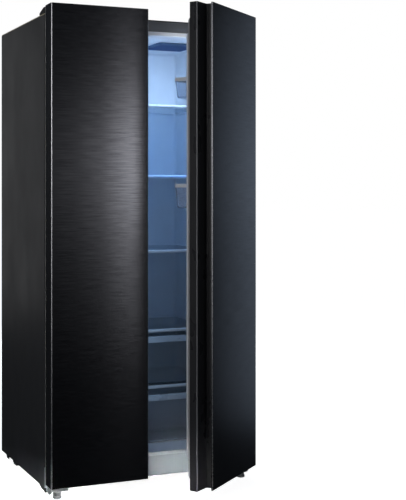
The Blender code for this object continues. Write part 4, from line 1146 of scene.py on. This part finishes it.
def outer_lights():
    """Soft panels round the appliance. Most are mirrored by one of its faces, and some fade towards their
    edges.
    """
    strip = area_light("strip", (1.415, -3.5, 1.15), (1.415, 0.0, 1.15), (0.80, 2.1), 32.0)
    across = ((0.0, 0.045), (0.175, 0.06), (0.41, 0.11), (0.65, 0.25), (0.85, 0.72), (0.95, 1.0))
    upward = ((0.0, 0.10), (0.33, 0.20), (0.44, 0.60), (0.56, 1.0), (0.68, 0.85), (0.80, 0.15), (1.0, 0.06))
    grade(strip, across, upward)
    right = area_light("right", (4.0, 0.80, 0.95), (0.6, 0.80, 0.95), (1.0, 3.0), 8.0, (0.67, 0.81, 1.0))
    across = ((0.0, 0.02), (0.25, 0.06), (0.6, 0.7), (1.0, 1.0))
    grade(right, across, ((0.0, 0.5), (0.4, 0.7), (0.6, 1.0), (0.8, 0.7), (1.0, 0.4)))
    area_light("left", (-0.7, 4.6, 1.38), (0.0, 0.3, 1.38), (0.8, 2.5), 3.6)
    edge = area_light("edge", (-2.4, -1.5, 1.2), (0.2, 0.0, 1.2), (1.2, 2.4), 34.0)
    grade(edge, ((0.0, 1.0), (1.0, 1.0)), ((0.0, 0.10), (0.4, 0.45), (0.6, 1.0), (1.0, 0.8)))
    area_light("behind", (0.4, 4.0, 2.2), (0.4, 0.6, 1.0), (2.0, 2.0), 40.0, mirrored_by=False)
    area_light("feet", (-0.40, -1.2, 0.16), (0.036, 0.030, 0.010), (0.30, 0.10), 0.42, spread=8.0)
    area_light("low", (-0.9, -2.6, 0.25), (0.48, 0.05, 0.05), (0.20, 0.10), 0.17, spread=9.0)


def inner_lights():
    """The refrigerator's own light: blue from the ceiling, deeper blue below, and a little at the mouth."""
    cool, deep, pale, white = (0.48, 0.70, 1.0), (0.08, 0.34, 1.0), (0.50, 0.74, 1.0), (1.0, 1.0, 1.0)
    for name, place, target, size, power, colour, spread in (
        ("inside_top", (0.583, 0.130, 1.655), (0.583, 0.420, 1.30), (0.30, 0.06), 1.25, cool, 126.0),
        ("inside_up", (0.583, 0.200, 1.55), (0.583, 0.300, 1.70), (0.25, 0.10), 0.05, cool, 180.0),
        ("inside_deep", (0.583, 0.150, 1.30), (0.583, 0.560, 1.15), (0.20, 0.20), 0.36, deep, 180.0),
        ("inside_front", (0.43, 0.10, 0.70), (0.56, 0.21, 0.70), (0.04, 0.9), 0.12, pale, 180.0),
        ("mouth_top", (0.54, 0.01, 1.62), (0.54, 0.085, 1.735), (0.12, 0.04), 0.11, white, 180.0),
    ):
        area_light(name, place, target, size, power, colour, spread, mirrored_by=False)


def sheens():
    """Panels that are only mirrored, so that the fronts and the right side show their finish."""
    for name, place, target, size, power in (
        ("front_sheen", (0.4, -6.0, 1.5), (0.4, 0.0, 1.0), (1.8, 2.6), 22.0),
        ("right_sheen", (2.9, 4.7, 1.3), (0.8, 0.3, 1.0), (1.5, 2.4), 20.0),
    ):
        area_light(name, place, target, size, power).visible_diffuse = False


def camera():
    """A level view from the left of the doors, with the view shifted to take them in."""
    data = bpy.data.cameras.new("view")
    data.sensor_width = 36.0
    data.lens = 74.49
    data.shift_x, data.shift_y = 0.1637, -0.1239
    data.clip_start, data.clip_end = 0.05, 200.0
    eye = bpy.data.objects.new("view", data)
    eye.location = world_point(-1.1396, -3.5074, 1.119)
    eye.rotation_euler = (radians(90.0), 0.0, radians(-21.863))
    bpy.context.scene.collection.objects.link(eye)
    bpy.context.scene.camera = eye


floor()
surroundings()
outer_lights()
inner_lights()
sheens()
camera()
bpy.context.scene.view_settings.view_transform = "Standard"
